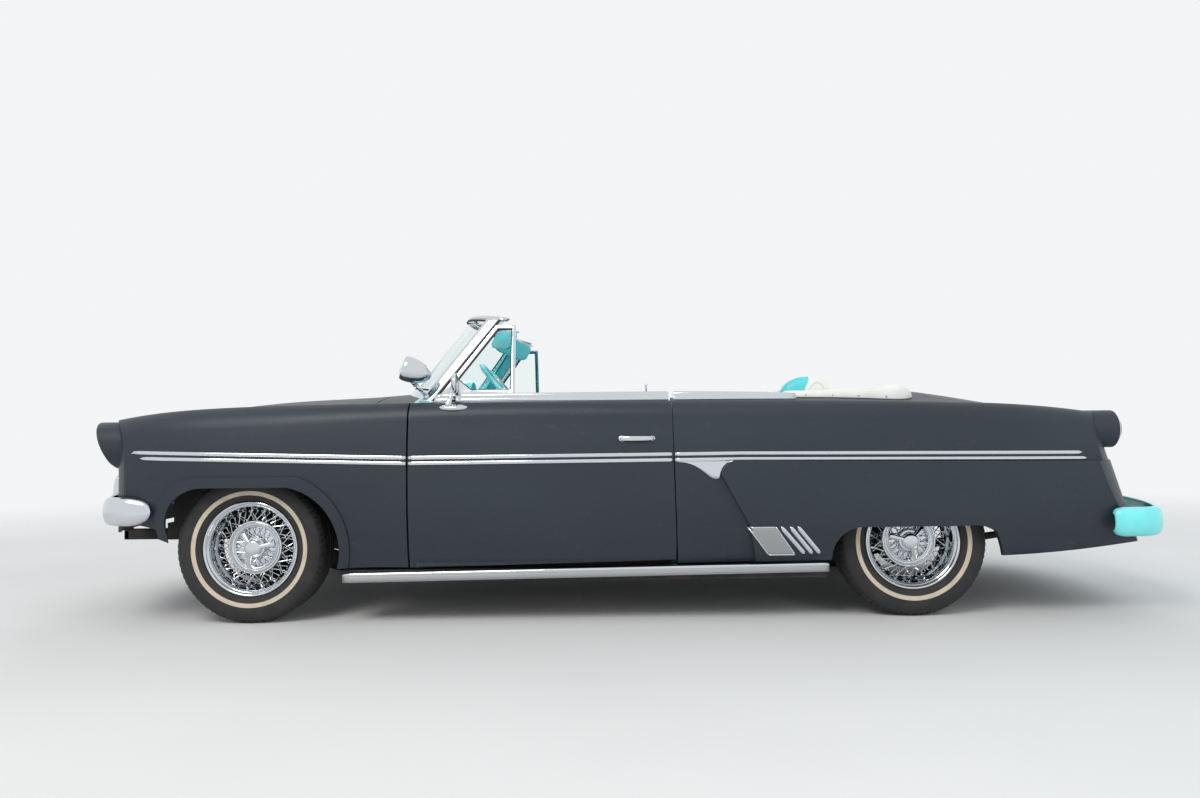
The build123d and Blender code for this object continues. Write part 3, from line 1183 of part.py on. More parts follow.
with BuildPart() as door_trim_left:
    add(door_spear)
    belt_low = outer_form.moved(Location((0, 0, SEAT_GAP)))
    add(block((DOOR_REAR_X + 12, BELT_IN_Y, 940), (880, BELT_OUT_Y, BELT_TOP_Z)) - belt_low)
    vent_hole = vent_prism(vent_inner, VENT_FOOT_Y - 1, VENT_FOOT_Y + VENT_T + 1)
    add(vent_prism(vent_outer, VENT_FOOT_Y, VENT_FOOT_Y + VENT_T) - vent_hole - belt_low)
    with Locations((HANDLE_X + 40, 905, HANDLE_Z)):
        Box(150, 12, 22)
    with Locations((HANDLE_X - 20, 893, HANDLE_Z), (HANDLE_X + 100, 893, HANDLE_Z)):
        Box(14, 20, 14)
    add(block((MIRROR_X - 60, 792, 940), (MIRROR_X + 60, 842, 974)) - belt_low)
    with BuildSketch(Plane.XY.offset(960)):
        with Locations((MIRROR_X, 818)):
            Circle(8)
    extrude(amount=MIRROR_Z - 960)
    with BuildSketch(cross_plane(MIRROR_X - 12)):
        with Locations((830, MIRROR_Z)):
            Circle(MIRROR_R)
    extrude(amount=26)
    add(door_left.part, mode=Mode.SUBTRACT)
save(door_trim_left, "door_trim_left")

with BuildPart() as vent_glass_left:
    add(vent_prism(vent_glass_shape, VENT_FOOT_Y + 6, VENT_FOOT_Y + 12))
save(vent_glass_left, "vent_glass_left")

with BuildPart() as door_trim_right:
    add(mirrored(door_trim_left.part))
save(door_trim_right, "door_trim_right")
with BuildPart() as vent_glass_right:
    add(mirrored(vent_glass_left.part))
save(vent_glass_right, "vent_glass_right")

# Knuckles: kingpin post, spindle and steering arm
ARM_REACH = 150.0
ARM_DROP = 60.0


def knuckle(side):
    wheel_back = FRONT_TRACK / 2 + DRUM_BACK
    spindle_end = FRONT_TRACK / 2 + DRUM_FRONT - 15
    with BuildPart() as made:
        with BuildSketch(Plane.XY.offset(KINGPIN_LOW_Z)):
            with Locations((FRONT_AXLE_X, side * KINGPIN_Y)):
                Circle(KINGPIN_R)
        extrude(amount=2 * KINGPIN_HALF)
        inner, outer = sorted((side * KINGPIN_Y, side * spindle_end))
        with BuildSketch(side_plane(outer)):
            with Locations((FRONT_AXLE_X, TYRE_R)):
                Circle(SPINDLE_R)
        extrude(amount=outer - inner)
        inner, outer = sorted((side * (KINGPIN_Y - 24), side * (KINGPIN_Y + 16)))
        add(block((FRONT_AXLE_X - 30, inner, TYRE_R - 60), (FRONT_AXLE_X + 30, outer, TYRE_R + 60)))
        inner, outer = sorted((side * (KINGPIN_Y - 24), side * (KINGPIN_Y - 4)))
        arm_low = TYRE_R - ARM_DROP
        add(block((FRONT_AXLE_X - ARM_REACH, inner, arm_low), (FRONT_AXLE_X, outer, arm_low + STEERING_ARM_T)))
    return made


save(knuckle(1), "knuckle_left")
save(knuckle(-1), "knuckle_right")

# Wire wheel, drawn with its axis along Z and its outer face up, the tyre's middle plane at z = 0
RIM_T = 7.0
WELL_R = 176.0
STEP_R = 196.0
HUB_FACE_Z = 30.0
SPINNER_REACH = 84.0
SPINNER_W = 26.0
SPINNER_T = 14.0
SPINNER_BARS = 3
NAVE_R = 46.0
DISH_R = 92.0
SPOKE_RIM_R = 172.0

with BuildPart() as rim_and_hub:
    with BuildSketch(Plane.XZ):
        with BuildLine():
            Polyline((RIM_LIP_R, -RIM_HALF), (BEAD_R, -RIM_HALF + 16), (BEAD_R, -40), (WELL_R, -22), (WELL_R, 20),
                     (BEAD_R, 40), (BEAD_R, RIM_HALF - 16), (RIM_LIP_R, RIM_HALF), (STEP_R, RIM_HALF),
                     (BEAD_R - RIM_T, RIM_HALF - 12), (OPENING_R, 22), (OPENING_R, -24), (BEAD_R - RIM_T, -RIM_HALF),
                     close=True)
        make_face()
        with BuildLine():
            Polyline((SPINDLE_R + SPINDLE_FIT, DRUM_BACK), (DRUM_R, DRUM_BACK), (DRUM_R, DRUM_FRONT),
                     (NAVE_R, DRUM_FRONT), (NAVE_R, HUB_FACE_Z - 24), (HUB_RING_R, HUB_FACE_Z - 20),
                     (HUB_RING_R, HUB_FACE_Z + 4), (DISH_R, HUB_FACE_Z + 4), (CAP_R, HUB_FACE_Z - 2),
                     (CAP_R, HUB_FACE_Z + 24), (CAP_R * 0.55, HUB_FACE_Z + CAP_OUT), (0, HUB_FACE_Z + CAP_OUT),
                     (0, DRUM_FRONT - 14), (SPINDLE_R + SPINDLE_FIT, DRUM_FRONT - 14), close=True)
        make_face()
    revolve(axis=Axis.Z)
    with PolarLocations(0, SPINNER_BARS):
        with Locations((SPINNER_REACH / 2, 0, HUB_FACE_Z + 16)):
            Box(SPINNER_REACH, SPINNER_W, SPINNER_T)

# Two crossed rows of spokes from the dish to the rim: hub radius, hub z, rim z, lead angle
SPOKE_ROWS = [(HUB_RING_R - 8, HUB_FACE_Z - 2, 12.0, 14.0), (HUB_RING_R - 8, HUB_FACE_Z - 14, -12.0, -14.0)]


def spoke(hub_r, hub_z, rim_z, lead):
    turn = math.radians(lead)
    start = Vector(hub_r, 0, hub_z)
    end = Vector(SPOKE_RIM_R * math.cos(turn), SPOKE_RIM_R * math.sin(turn), rim_z)
    run = end - start
    with BuildPart() as made:
        with BuildSketch(Plane(origin=start, z_dir=run.normalized())):
            Rectangle(SPOKE_W, SPOKE_W)
        extrude(amount=run.length)
    return made.part


with BuildPart() as wire_wheel:
    add(rim_and_hub.part)
    for row, (hub_r, hub_z, rim_z, lead) in enumerate(SPOKE_ROWS):
        one = spoke(hub_r, hub_z, rim_z, lead)
        step = 360 / SPOKE_PAIRS
        add([one.rotate(Axis.Z, step * (i + row * 0.5)) for i in range(SPOKE_PAIRS)])

# Tyre outline from the tread over the shoulder and bead to its inner wall: radius, half width
TREAD_HALF = 52.0
CARCASS_T = 30.0
TYRE_OUTLINE = [(TYRE_R, TREAD_HALF), (TYRE_R - 8, TYRE_HALF - 18), (TYRE_R - 34, TYRE_HALF - 3),
                (TYRE_R - 70, TYRE_HALF), (RIM_LIP_R + 3, RIM_HALF - 4), (BEAD_R + SEAT_GAP, RIM_HALF - 26),
                (BEAD_R + SEAT_GAP, 46), (TYRE_R - CARCASS_T, 60)]
with BuildPart() as tyre:
    with BuildSketch(Plane.XZ):
        with BuildLine():
            Polyline(*TYRE_OUTLINE, *[(r, -z) for r, z in reversed(TYRE_OUTLINE)], close=True)
        make_face()
    revolve(axis=Axis.Z)

# Wheel places: name, x, y of the tyre's middle, side, turn of the spinner
WHEELS = [
    ("front_left", FRONT_AXLE_X, FRONT_TRACK / 2, 1, 70.0),
    ("front_right", FRONT_AXLE_X, -FRONT_TRACK / 2, -1, 35.0),
    ("rear_left", REAR_AXLE_X, REAR_TRACK / 2, 1, 105.0),
    ("rear_right", REAR_AXLE_X, -REAR_TRACK / 2, -1, 80.0),
]
for corner, x, y, side, turn in WHEELS:
    place = Location((x, y, TYRE_R)) * Location((0, 0, 0), (-90 * side, 0, 0)) * Location((0, 0, 0), (0, 0, turn))
    with BuildPart() as placed_wheel:
        add(wire_wheel.part.moved(place))
    save(placed_wheel, f"wheel_{corner}")
    with BuildPart() as placed_tyre:
        add(tyre.part.moved(place))
    save(placed_tyre, f"tyre_{corner}")
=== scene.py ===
import math

import bpy
import numpy as np
from mathutils import Matrix, Vector
from mathutils.bvhtree import BVHTree


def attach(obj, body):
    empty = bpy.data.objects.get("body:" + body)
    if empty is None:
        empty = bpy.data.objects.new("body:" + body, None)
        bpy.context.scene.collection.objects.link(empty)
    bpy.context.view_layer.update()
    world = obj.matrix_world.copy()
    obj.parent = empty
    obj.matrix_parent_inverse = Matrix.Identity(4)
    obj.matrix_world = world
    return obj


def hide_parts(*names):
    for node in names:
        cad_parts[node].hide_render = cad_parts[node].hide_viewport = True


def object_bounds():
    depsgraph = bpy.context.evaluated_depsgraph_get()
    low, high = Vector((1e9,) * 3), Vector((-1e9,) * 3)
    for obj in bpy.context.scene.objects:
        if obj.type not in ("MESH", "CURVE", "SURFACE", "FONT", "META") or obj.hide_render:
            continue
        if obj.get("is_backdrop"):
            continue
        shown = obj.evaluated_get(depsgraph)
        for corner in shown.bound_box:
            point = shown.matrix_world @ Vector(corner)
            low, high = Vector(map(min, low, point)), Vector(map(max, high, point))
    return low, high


# Metres, +X to the nose, +Y to the car's left side, +Z up, origin on the ground below the middle.
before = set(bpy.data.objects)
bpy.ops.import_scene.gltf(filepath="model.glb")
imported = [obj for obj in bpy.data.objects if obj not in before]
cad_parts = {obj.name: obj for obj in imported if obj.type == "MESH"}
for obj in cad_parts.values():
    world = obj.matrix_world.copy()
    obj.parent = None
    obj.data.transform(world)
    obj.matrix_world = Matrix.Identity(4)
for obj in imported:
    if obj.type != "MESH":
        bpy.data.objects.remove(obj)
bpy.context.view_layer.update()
SCENE = bpy.context.scene

# ---------------------------------------------------------------- camera
PHOTO_WIDTH, FOCAL_PX, SENSOR = 1200.0, 920.0, 36.0
EYE = Vector((0.1228, 4.9, 0.862))
YAW_PX, PITCH_PX, ROLL = 4.0, 25.5, math.radians(0.6)

ahead = Vector((YAW_PX / FOCAL_PX, -1.0, PITCH_PX / FOCAL_PX)).normalized()
level_right = ahead.cross(Vector((0, 0, 1))).normalized()
level_up = level_right.cross(ahead)
right = level_right * math.cos(ROLL) - level_up * math.sin(ROLL)
up = level_up * math.cos(ROLL) + level_right * math.sin(ROLL)
lens = bpy.data.cameras.new("camera")
lens.sensor_width, lens.lens, lens.clip_end = SENSOR, FOCAL_PX / PHOTO_WIDTH * SENSOR, 200
camera = bpy.data.objects.new("camera", lens)
SCENE.collection.objects.link(camera)
camera.matrix_world = Matrix.Translation(EYE) @ Matrix((right, up, -ahead)).transposed().to_4x4()
SCENE.camera = camera


# ---------------------------------------------------------------- materials
def feed(tree, socket, value):
    """Links an output to a socket, or sets a plain value on it."""
    if isinstance(value, bpy.types.NodeSocket):
        tree.links.new(value, socket)
    else:
        socket.default_value = value


def node(tree, kind, inputs=(), **settings):
    made = tree.nodes.new(kind)
    for key, value in settings.items():
        setattr(made, key, value)
    for key, value in dict(inputs).items():
        feed(tree, made.inputs[key], value)
    return made


def noise(scale, detail=3.0, stretch=(1, 1, 1)):
    return "ShaderNodeTexNoise", "Fac", stretch, {"Scale": scale, "Detail": detail}


def cells(scale, stretch=(1, 1, 1)):
    return "ShaderNodeTexVoronoi", "Distance", stretch, {"Scale": scale}


class Shader:
    """A node material built round one Principled shader. Its patterns come from noise() and cells()."""

    def __init__(self, name, color, rough, metal=0.0):
        self.material = bpy.data.materials.new(name)
        self.material.use_nodes = True
        self.tree = self.material.node_tree
        self.inputs = self.tree.nodes["Principled BSDF"].inputs
        self.color = (*color, 1.0)
        self.place = node(self.tree, "ShaderNodeTexCoord").outputs["Object"]
        self.set("Base Color", self.color).set("Roughness", rough).set("Metallic", metal)

    def set(self, socket, value):
        feed(self.tree, self.inputs[socket], value)
        return self

    def pattern(self, kind, output, stretch, inputs):
        mapping = node(self.tree, "ShaderNodeMapping", {"Scale": stretch, "Vector": self.place})
        return node(self.tree, kind, {**inputs, "Vector": mapping.outputs["Vector"]}).outputs[output]

    def tint(self, pattern, low, high, color):
        """Lays another colour over what the base colour is so far, from none at low to all at high."""
        ramp = node(self.tree, "ShaderNodeValToRGB", {"Fac": self.pattern(*pattern)})
        ramp.color_ramp.elements[0].position = low
        ramp.color_ramp.elements[1].position = high
        base = self.inputs["Base Color"]
        below = base.links[0].from_socket if base.links else self.color
        mix = node(self.tree, "ShaderNodeMix", {"A": below, "B": (*color, 1.0), "Factor": ramp.outputs["Color"]},
                   data_type="RGBA")
        return self.set("Base Color", mix.outputs["Result"])

    def rough(self, pattern, low, high):
        inputs = {"To Min": low, "To Max": high, "Value": self.pattern(*pattern)}
        return self.set("Roughness", node(self.tree, "ShaderNodeMapRange", inputs).outputs["Result"])

    def bump(self, pattern, distance, strength):
        inputs = {"Distance": distance, "Strength": strength, "Height": self.pattern(*pattern)}
        if self.inputs["Normal"].links:
            inputs["Normal"] = self.inputs["Normal"].links[0].from_socket
        return self.set("Normal", node(self.tree, "ShaderNodeBump", inputs).outputs["Normal"])


def vinyl(name, color, dark, rough=0.45):
    return (Shader(name, color, rough).tint(noise(6.0, 5.0), 0.4, 0.8, dark)
            .bump(cells(420.0), 0.0004, 0.35).bump(noise(26.0, 4.0), 0.0015, 0.3)
            .rough(noise(35.0), rough - 0.08, rough + 0.12).material)


BODY = (Shader("satin_black", (0.018, 0.026, 0.035), 0.42)
        .tint(noise(1.1, 5.0, (1, 1, 2.2)), 0.35, 0.75, (0.024, 0.034, 0.045)).rough(noise(3.0, 6.0), 0.36, 0.50)
        .tint(noise(22.0, 8.0, (1, 1, 3)), 0.62, 0.85, (0.040, 0.048, 0.054)).bump(noise(900.0, 2.0), 0.0002, 0.25)
        .set("Specular IOR Level", 0.38).material)
CHROME = (Shader("chrome_plate", (0.66, 0.69, 0.72), 0.09, 1.0).rough(noise(14.0, 6.0), 0.05, 0.17)
          .tint(noise(60.0, 8.0), 0.68, 0.80, (0.40, 0.41, 0.42)).bump(noise(9.0, 2.0), 0.0006, 0.25).material)
TRIM_GREY = (Shader("brushed_trim", (0.42, 0.43, 0.44), 0.35, 1.0).rough(noise(40.0, 4.0, (1, 1, 12)), 0.28, 0.50)
             .bump(noise(160.0, 3.0, (0.2, 1, 14)), 0.0004, 0.35).material)
RUBBER = (Shader("tyre_rubber", (0.018, 0.018, 0.019), 0.72).tint(noise(12.0, 6.0), 0.45, 0.8, (0.034, 0.032, 0.030))
          .bump(noise(220.0, 4.0), 0.0005, 0.4).rough(noise(30.0), 0.6, 0.85).material)
CREAM = (Shader("cream_band", (0.62, 0.53, 0.40), 0.6).tint(noise(18.0, 6.0), 0.4, 0.75, (0.50, 0.42, 0.31))
         .bump(noise(300.0), 0.0003, 0.3).material)
TURQUOISE = (Shader("turquoise_paint", (0.19, 0.79, 0.80), 0.3).tint(noise(7.0, 6.0), 0.5, 0.85, (0.15, 0.66, 0.68))
             .bump(noise(500.0), 0.0002, 0.2).set("Coat Weight", 0.4).material)
TURQUOISE_VINYL = vinyl("turquoise_vinyl", (0.10, 0.62, 0.66), (0.07, 0.48, 0.52))
WHITE_VINYL = vinyl("white_vinyl", (0.80, 0.80, 0.76), (0.68, 0.67, 0.62))
BLACK = (Shader("underside_black", (0.018, 0.017, 0.016), 0.75)
         .tint(noise(9.0, 8.0), 0.5, 0.75, (0.055, 0.045, 0.036)).bump(noise(60.0, 5.0), 0.001, 0.4).material)
GLASS = (Shader("clear_glass", (0.93, 0.98, 0.97), 0.02).set("Transmission Weight", 1.0).set("IOR", 1.05)
         .rough(noise(5.0, 5.0), 0.0, 0.05).material)
LAMP_GLASS = (Shader("lamp_glass", (0.80, 0.84, 0.86), 0.12).tint(noise(30.0), 0.4, 0.7, (0.70, 0.74, 0.76))
              .bump(cells(70.0, (0.1, 1, 1)), 0.001, 0.5).set("Coat Weight", 1.0).material)
RED = (Shader("red_lens", (0.42, 0.012, 0.01), 0.12).tint(cells(60.0), 0.0, 0.5, (0.24, 0.006, 0.006))
       .bump(cells(90.0), 0.0012, 0.5).set("Coat Weight", 1.0).material)
STEEL = (Shader("worn_steel", (0.30, 0.27, 0.24), 0.5, 0.8).tint(noise(14.0, 8.0), 0.45, 0.65, (0.16, 0.09, 0.05))
         .bump(noise(90.0, 5.0), 0.0006, 0.4).material)

# ---------------------------------------------------------------- mesh helpers
work = bpy.data.collections.new("work")
SCENE.collection.children.link(work)


def tenths(*rows):
    """Rows that are written in tenths of a millimetre, or in ten-thousandths where a number is a share."""
    return [tuple(value / 10000 for value in row) for row in rows]


def turns(count, start=0.0):
    """Cosine and sine of even steps round a full turn."""
    return [(math.cos(a), math.sin(a)) for a in (2 * math.pi * (k + start) / count for k in range(count))]


def eased(value, power):
    return math.copysign(abs(value) ** power, value)


def new_object(name, verts, faces, *materials):
    mesh = bpy.data.meshes.new(name)
    mesh.from_pydata([tuple(v) for v in verts], [], faces)
    mesh.validate()
    for material in materials:
        mesh.materials.append(material)
    made = bpy.data.objects.new(name, mesh)
    work.objects.link(made)
    return made


def outward(made):
    """Turns all faces of a closed mesh outwards."""
    mesh = made.data
    mesh.calc_loop_triangles()
    corners = ([mesh.vertices[i].co for i in triangle.vertices] for triangle in mesh.loop_triangles)
    if sum(a.dot(b.cross(c)) for a, b, c in corners) < 0:
        mesh.flip_normals()
    return made


def smooth(made, angle=None):
    """Smooth shading, with edges above the angle left sharp. joined() keeps no sharp edges."""
    made.data.polygons.foreach_set("use_smooth", [True] * len(made.data.polygons))
    if angle is not None:
        made.data.set_sharp_from_angle(angle=math.radians(angle))
    return made


def skin(name, rings, *materials, closed=False):
    """A smooth skin over rings of as many points each. An open run has both ends filled."""
    size, count = len(rings[0]), len(rings)
    faces = []
    for i in range(count if closed else count - 1):
        here, there = i * size, (i + 1) % count * size
        faces += [(here + j, here + (j + 1) % size, there + (j + 1) % size, there + j) for j in range(size)]
    if not closed:
        faces += [tuple(reversed(range(size))), tuple(range(size * (count - 1), size * count))]
    return smooth(outward(new_object(name, [point for ring in rings for point in ring], faces, *materials)))


def plainly(u, v, w):
    return u, v, w


def lathe(name, profile, place, steps, *materials, bands=None):
    """A closed profile of (r, h) points turned about an axis. place turns (r cos, r sin, h) to x, y, z."""
    rings = [[place(r * c, r * s, h) for r, h in profile] for c, s in turns(steps)]
    made = skin(name, rings, *materials, closed=True)
    if bands:
        made.data.polygons.foreach_set("material_index", bands * steps)
    return made


def oval(middle, a, b, count, power=1.0):
    """A ring round a point, given by its two half axes."""
    return [tuple(m + c * p + eased(s, power) * q for m, p, q in zip(middle, a, b)) for c, s in turns(count)]


def prism(name, outline, place, depth):
    """A closed block from a flat outline. place turns (u, v, w) to x, y, z and w runs from 0 to depth."""
    count = len(outline)
    verts = [place(u, v, 0.0) for u, v in outline] + [place(u, v, depth) for u, v in outline]
    faces = [tuple(range(count)), tuple(reversed(range(count, 2 * count)))]
    faces += [(i, i + count, (i + 1) % count + count, (i + 1) % count) for i in range(count)]
    return outward(new_object(name, verts, faces))


def applied(made):
    """Turns a piece's modifiers into its mesh."""
    mesh = bpy.data.meshes.new_from_object(made.evaluated_get(bpy.context.evaluated_depsgraph_get()))
    made.modifiers.clear()
    made.data = mesh
    return made


def carve(base, tools, operation):
    """Booleans with closed meshes, which are used up."""
    for tool in tools:
        step = base.modifiers.new("carve", "BOOLEAN")
        step.operation, step.object, step.solver = operation, tool, "MANIFOLD"
        applied(base)
        bpy.data.objects.remove(tool)
    return base


def cut(base, *tools):
    return carve(base, tools, "DIFFERENCE")


def keep(base, *tools):
    return carve(base, tools, "INTERSECT")


def weld(base, *tools):
    return carve(base, tools, "UNION")


def bevelled(made, width, segments, angle=30.0):
    edge = made.modifiers.new("edge", "BEVEL")
    edge.width, edge.segments, edge.use_clamp_overlap = width, segments, True
    edge.limit_method, edge.angle_limit = "ANGLE", math.radians(angle)
    return smooth(applied(made))


def coat(made, material):
    made.data.materials.clear()
    made.data.materials.append(material)
    return made


def copy_of(source, name):
    made = source.copy()
    made.data = source.data.copy()
    made.name = name
    work.objects.link(made)
    return made


def mirrored(made, axis):
    made.data.transform(Matrix.Scale(-1, 4, axis))
    made.data.flip_normals()
    return made


def mirror_y(source, name):
    return mirrored(copy_of(source, name), (0, 1, 0))


def joined(name, pieces):
    """One object from several, with each one's materials kept."""
    verts, faces, indices, smooths, materials = [], [], [], [], []
    for piece in pieces:
        mesh = piece.data
        base = len(verts)
        verts += [piece.matrix_world @ v.co for v in mesh.vertices]
        own = []
        for material in mesh.materials:
            material = material or mesh.materials[-1]
            if material not in materials:
                materials.append(material)
            own.append(materials.index(material))
        for face in mesh.polygons:
            faces.append(tuple(base + i for i in face.vertices))
            indices.append(own[face.material_index] if own else 0)
            smooths.append(face.use_smooth)
    made = new_object(name, verts, faces, *materials)
    made.data.polygons.foreach_set("material_index", indices)
    made.data.polygons.foreach_set("use_smooth", smooths)
    for piece in pieces:
        bpy.data.objects.remove(piece)
    return made


def with_mirror(pieces, name):
    """Joins left pieces with their mirror images."""
    left = joined(name, pieces)
    return joined(name, [left, mirror_y(left, name + "_other")])


def tree_of(made):
    return BVHTree.FromPolygons([v.co for v in made.data.vertices], [p.vertices for p in made.data.polygons])


def finish_piece(made, body, *nodes):
    if nodes:
        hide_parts(*nodes)
    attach(made, body)


def through(a, b, c, steps=14):
    """Points on the circle arc from a through b to c, without the last one."""
    (ax, ay), (bx, by), (cx, cy) = a, b, c
    d = 2 * (ax * (by - cy) + bx * (cy - ay) + cx * (ay - by))
    if abs(d) < 1e-12:
        return [a]
    sa, sb, sc = ax * ax + ay * ay, bx * bx + by * by, cx * cx + cy * cy
    ox = (sa * (by - cy) + sb * (cy - ay) + sc * (ay - by)) / d
    oy = (sa * (cx - bx) + sb * (ax - cx) + sc * (bx - ax)) / d
    start, middle, end = (math.atan2(y - oy, x - ox) for x, y in (a, b, c))
    sweep = (end - start) % (2 * math.pi)
    if (middle - start) % (2 * math.pi) > sweep:
        sweep -= 2 * math.pi
    radius = math.hypot(ax - ox, ay - oy)
    return [(ox + radius * math.cos(start + sweep * i / steps), oy + radius * math.sin(start + sweep * i / steps))
            for i in range(steps)]


WIDE, HIGH = 1.1, 1.6


def side_prism(points, arcs=()):
    """Right across the car, from a side outline whose side i bends through arcs[i]."""
    outline = []
    for i, point in enumerate(points):
        outline += through(point, arcs[i], points[(i + 1) % len(points)]) if i in arcs else [point]
    return prism("side", outline, lambda u, v, w: (u, w - WIDE, v), 2 * WIDE)


def block(low, high):
    outline = [(low[0], low[1]), (high[0], low[1]), (high[0], high[1]), (low[0], high[1])]
    return prism("block", outline, lambda u, v, w: (u, v, low[2] + w), high[2] - low[2])


def plan_prism(seam, low_z):
    outline = seam + [(x, -y) for x, y in reversed(seam)]
    return prism("plan", outline, lambda u, v, w: (u, v, low_z + w), HIGH)


# ---------------------------------------------------------------- body form
# x, foot z, foot y, flank y, flank z, waist y, waist z, crest y, crest z, valley y, valley z, crown z
SECTIONS = np.array(tenths((24400, 3920, 7400, 8000, 5600, 7860, 8000, 7150, 8840, 5900, 8660, 8840),
                           (21500, 3920, 8220, 8820, 5600, 8660, 8360, 7900, 9280, 6400, 9060, 9400),
                           (17500, 2440, 8600, 9080, 5600, 8900, 8620, 8080, 9550, 6600, 9340, 9940),
                           (13000, 2440, 8680, 9120, 5600, 8920, 8760, 8200, 9630, 6900, 9520, 10160),
                           (8500, 2440, 8680, 9100, 5600, 8880, 8860, 8280, 9680, 7700, 9740, 10460),
                           (0, 2500, 8660, 9070, 5600, 8840, 8860, 8280, 9660, 7700, 9740, 10260),
                           (-7000, 2620, 8600, 9000, 5600, 8760, 8800, 8200, 9620, 7600, 9720, 10300),
                           (-14000, 2680, 8460, 8880, 5600, 8640, 8680, 8000, 9480, 7000, 9500, 10240),
                           (-19000, 2860, 8060, 8620, 5600, 8400, 8360, 7680, 9180, 6400, 8960, 9260),
                           (-23800, 3360, 7400, 8000, 5400, 7800, 7800, 7060, 8460, 5600, 7960, 8120)))
SAGS = (-0.010, -0.009, -0.017, 0.002)
SHEET, OPEN_LOW, STATION = 0.014, 0.060, 0.03
ARC_STEPS, CROWN_STEPS = 7, 10


def natural_spline(knots, values, wanted):
    """Natural cubic spline through each column of values."""
    order = np.argsort(knots)
    x, y = knots[order], values[order]
    h = np.diff(x)
    size = len(x)
    matrix, right_side = np.zeros((size, size)), np.zeros_like(y)
    matrix[0, 0] = matrix[-1, -1] = 1.0
    for i in range(1, size - 1):
        matrix[i, i - 1:i + 2] = h[i - 1], 2 * (h[i - 1] + h[i]), h[i]
        right_side[i] = 6 * ((y[i + 1] - y[i]) / h[i] - (y[i] - y[i - 1]) / h[i - 1])
    bend = np.linalg.solve(matrix, right_side)
    made = []
    for w in wanted:
        i = int(np.clip(np.searchsorted(x, w) - 1, 0, size - 2))
        a, b = (x[i + 1] - w) / h[i], (w - x[i]) / h[i]
        made.append(a * y[i] + b * y[i + 1] + ((a ** 3 - a) * bend[i] + (b ** 3 - b) * bend[i + 1]) * h[i] ** 2 / 6)
    return made


def arc_by_sag(a, b, sag, steps):
    (ay, az), (by, bz) = a, b
    dy, dz = by - ay, bz - az
    size = math.hypot(dy, dz)
    return through(a, ((ay + by) / 2 - dz / size * sag, (az + bz) / 2 + dy / size * sag), b, steps)


def half_section(row, grow, drop):
    """Left half of one section, from its foot up to the middle of the crown."""
    x, foot_z, foot_y, flank_y, flank_z, waist_y, waist_z, crest_y, crest_z, valley_y, valley_z, crown_z = row
    corners = [(foot_y + grow, foot_z - OPEN_LOW if grow < 0 else foot_z), (flank_y + grow, flank_z),
               (waist_y + grow, waist_z - drop), (crest_y + grow, crest_z - drop), (valley_y + grow, valley_z - drop)]
    points = []
    for a, b, sag in zip(corners, corners[1:], SAGS):
        points += arc_by_sag(a, b, sag, ARC_STEPS)
    valley = corners[-1]
    crown = through(valley, (0.0, crown_z - drop), (-valley[0], valley[1]), 2 * CROWN_STEPS)
    if len(crown) == 1:
        crown = [(valley[0] * (1 - i / CROWN_STEPS), valley[1]) for i in range(2 * CROWN_STEPS)]
    return points + crown[:CROWN_STEPS + 1]


def body_loft(name, grow, drop):
    low, high = SECTIONS[-1, 0], SECTIONS[0, 0]
    rings = []
    for row in natural_spline(SECTIONS[:, 0], SECTIONS, np.linspace(low, high, int((high - low) / STATION) + 1)):
        half = half_section(row, grow, drop)
        rings.append([(row[0], y, z) for y, z in half + [(-y, z) for y, z in reversed(half[:-1])]])
    return skin(name, rings)


NOSE_ARC, NOSE_CORNER = [(2.332, 0.7), (2.4, 0.0)], [(2.284, 0.806), (2.15, 0.9)]
TAIL_ARC, TAIL_CORNER = [(-2.291, 0.64), (-2.349, 0.0)], [(-2.236, 0.775), (-2.08, 0.905)]
TAIL_ARC_Z, MASK_LOW_Z, TAIL_LEAN = 0.33, 0.1, 0.317


def end_mask(middle_arc, corner_arc, shift, far_x, lean):
    end, middle = [(x + shift, y) for x, y in middle_arc]
    bend, flank = [(x + shift, y) for x, y in corner_arc]
    low = [(x, -y) for x, y in (flank, bend, end)]
    outline = [(far_x, WIDE), (far_x, -WIDE), (flank[0], -WIDE)] + through(*low)
    outline += through(low[2], middle, end, 40) + through(end, bend, flank) + [flank, (flank[0], WIDE)]
    return prism("mask", outline, lambda u, v, w: (u + lean * w, v, MASK_LOW_Z + w), HIGH)


def closed_form(name, grow, drop, inset, tail_inset):
    return keep(body_loft(name, grow, drop), end_mask(NOSE_ARC, NOSE_CORNER, -inset, -3.0, 0.0),
                end_mask(TAIL_ARC, TAIL_CORNER, tail_inset - TAIL_LEAN * (TAIL_ARC_Z - MASK_LOW_Z), 3.2, TAIL_LEAN))


BULGE_OUT, ARCH_LIP = 0.024, 0.009
outer_form = closed_form("outer_form", 0.0, 0.0, 0.0, 0.0)
inner_form = closed_form("inner_form", -SHEET, SHEET, SHEET, SHEET)
wide_form = closed_form("wide_form", BULGE_OUT, 0.0, 0.0, -BULGE_OUT / 3)
flare_form = body_loft("flare_form", ARCH_LIP, 0.0)
surface_form = body_loft("surface_form", 0.0, 0.0)
surface_wide = body_loft("surface_wide", BULGE_OUT, 0.0)


def outer():
    return copy_of(outer_form, "panel")


def inner():
    return copy_of(inner_form, "hollow")


# Smooth shading of cut panels: each corner on a body form takes that form's own normal
SHADES = [(tree_of(form), form.data) for form in (surface_form, surface_wide, flare_form)]
NEAR_FORM, SAME_WAY = 0.0015, 0.9


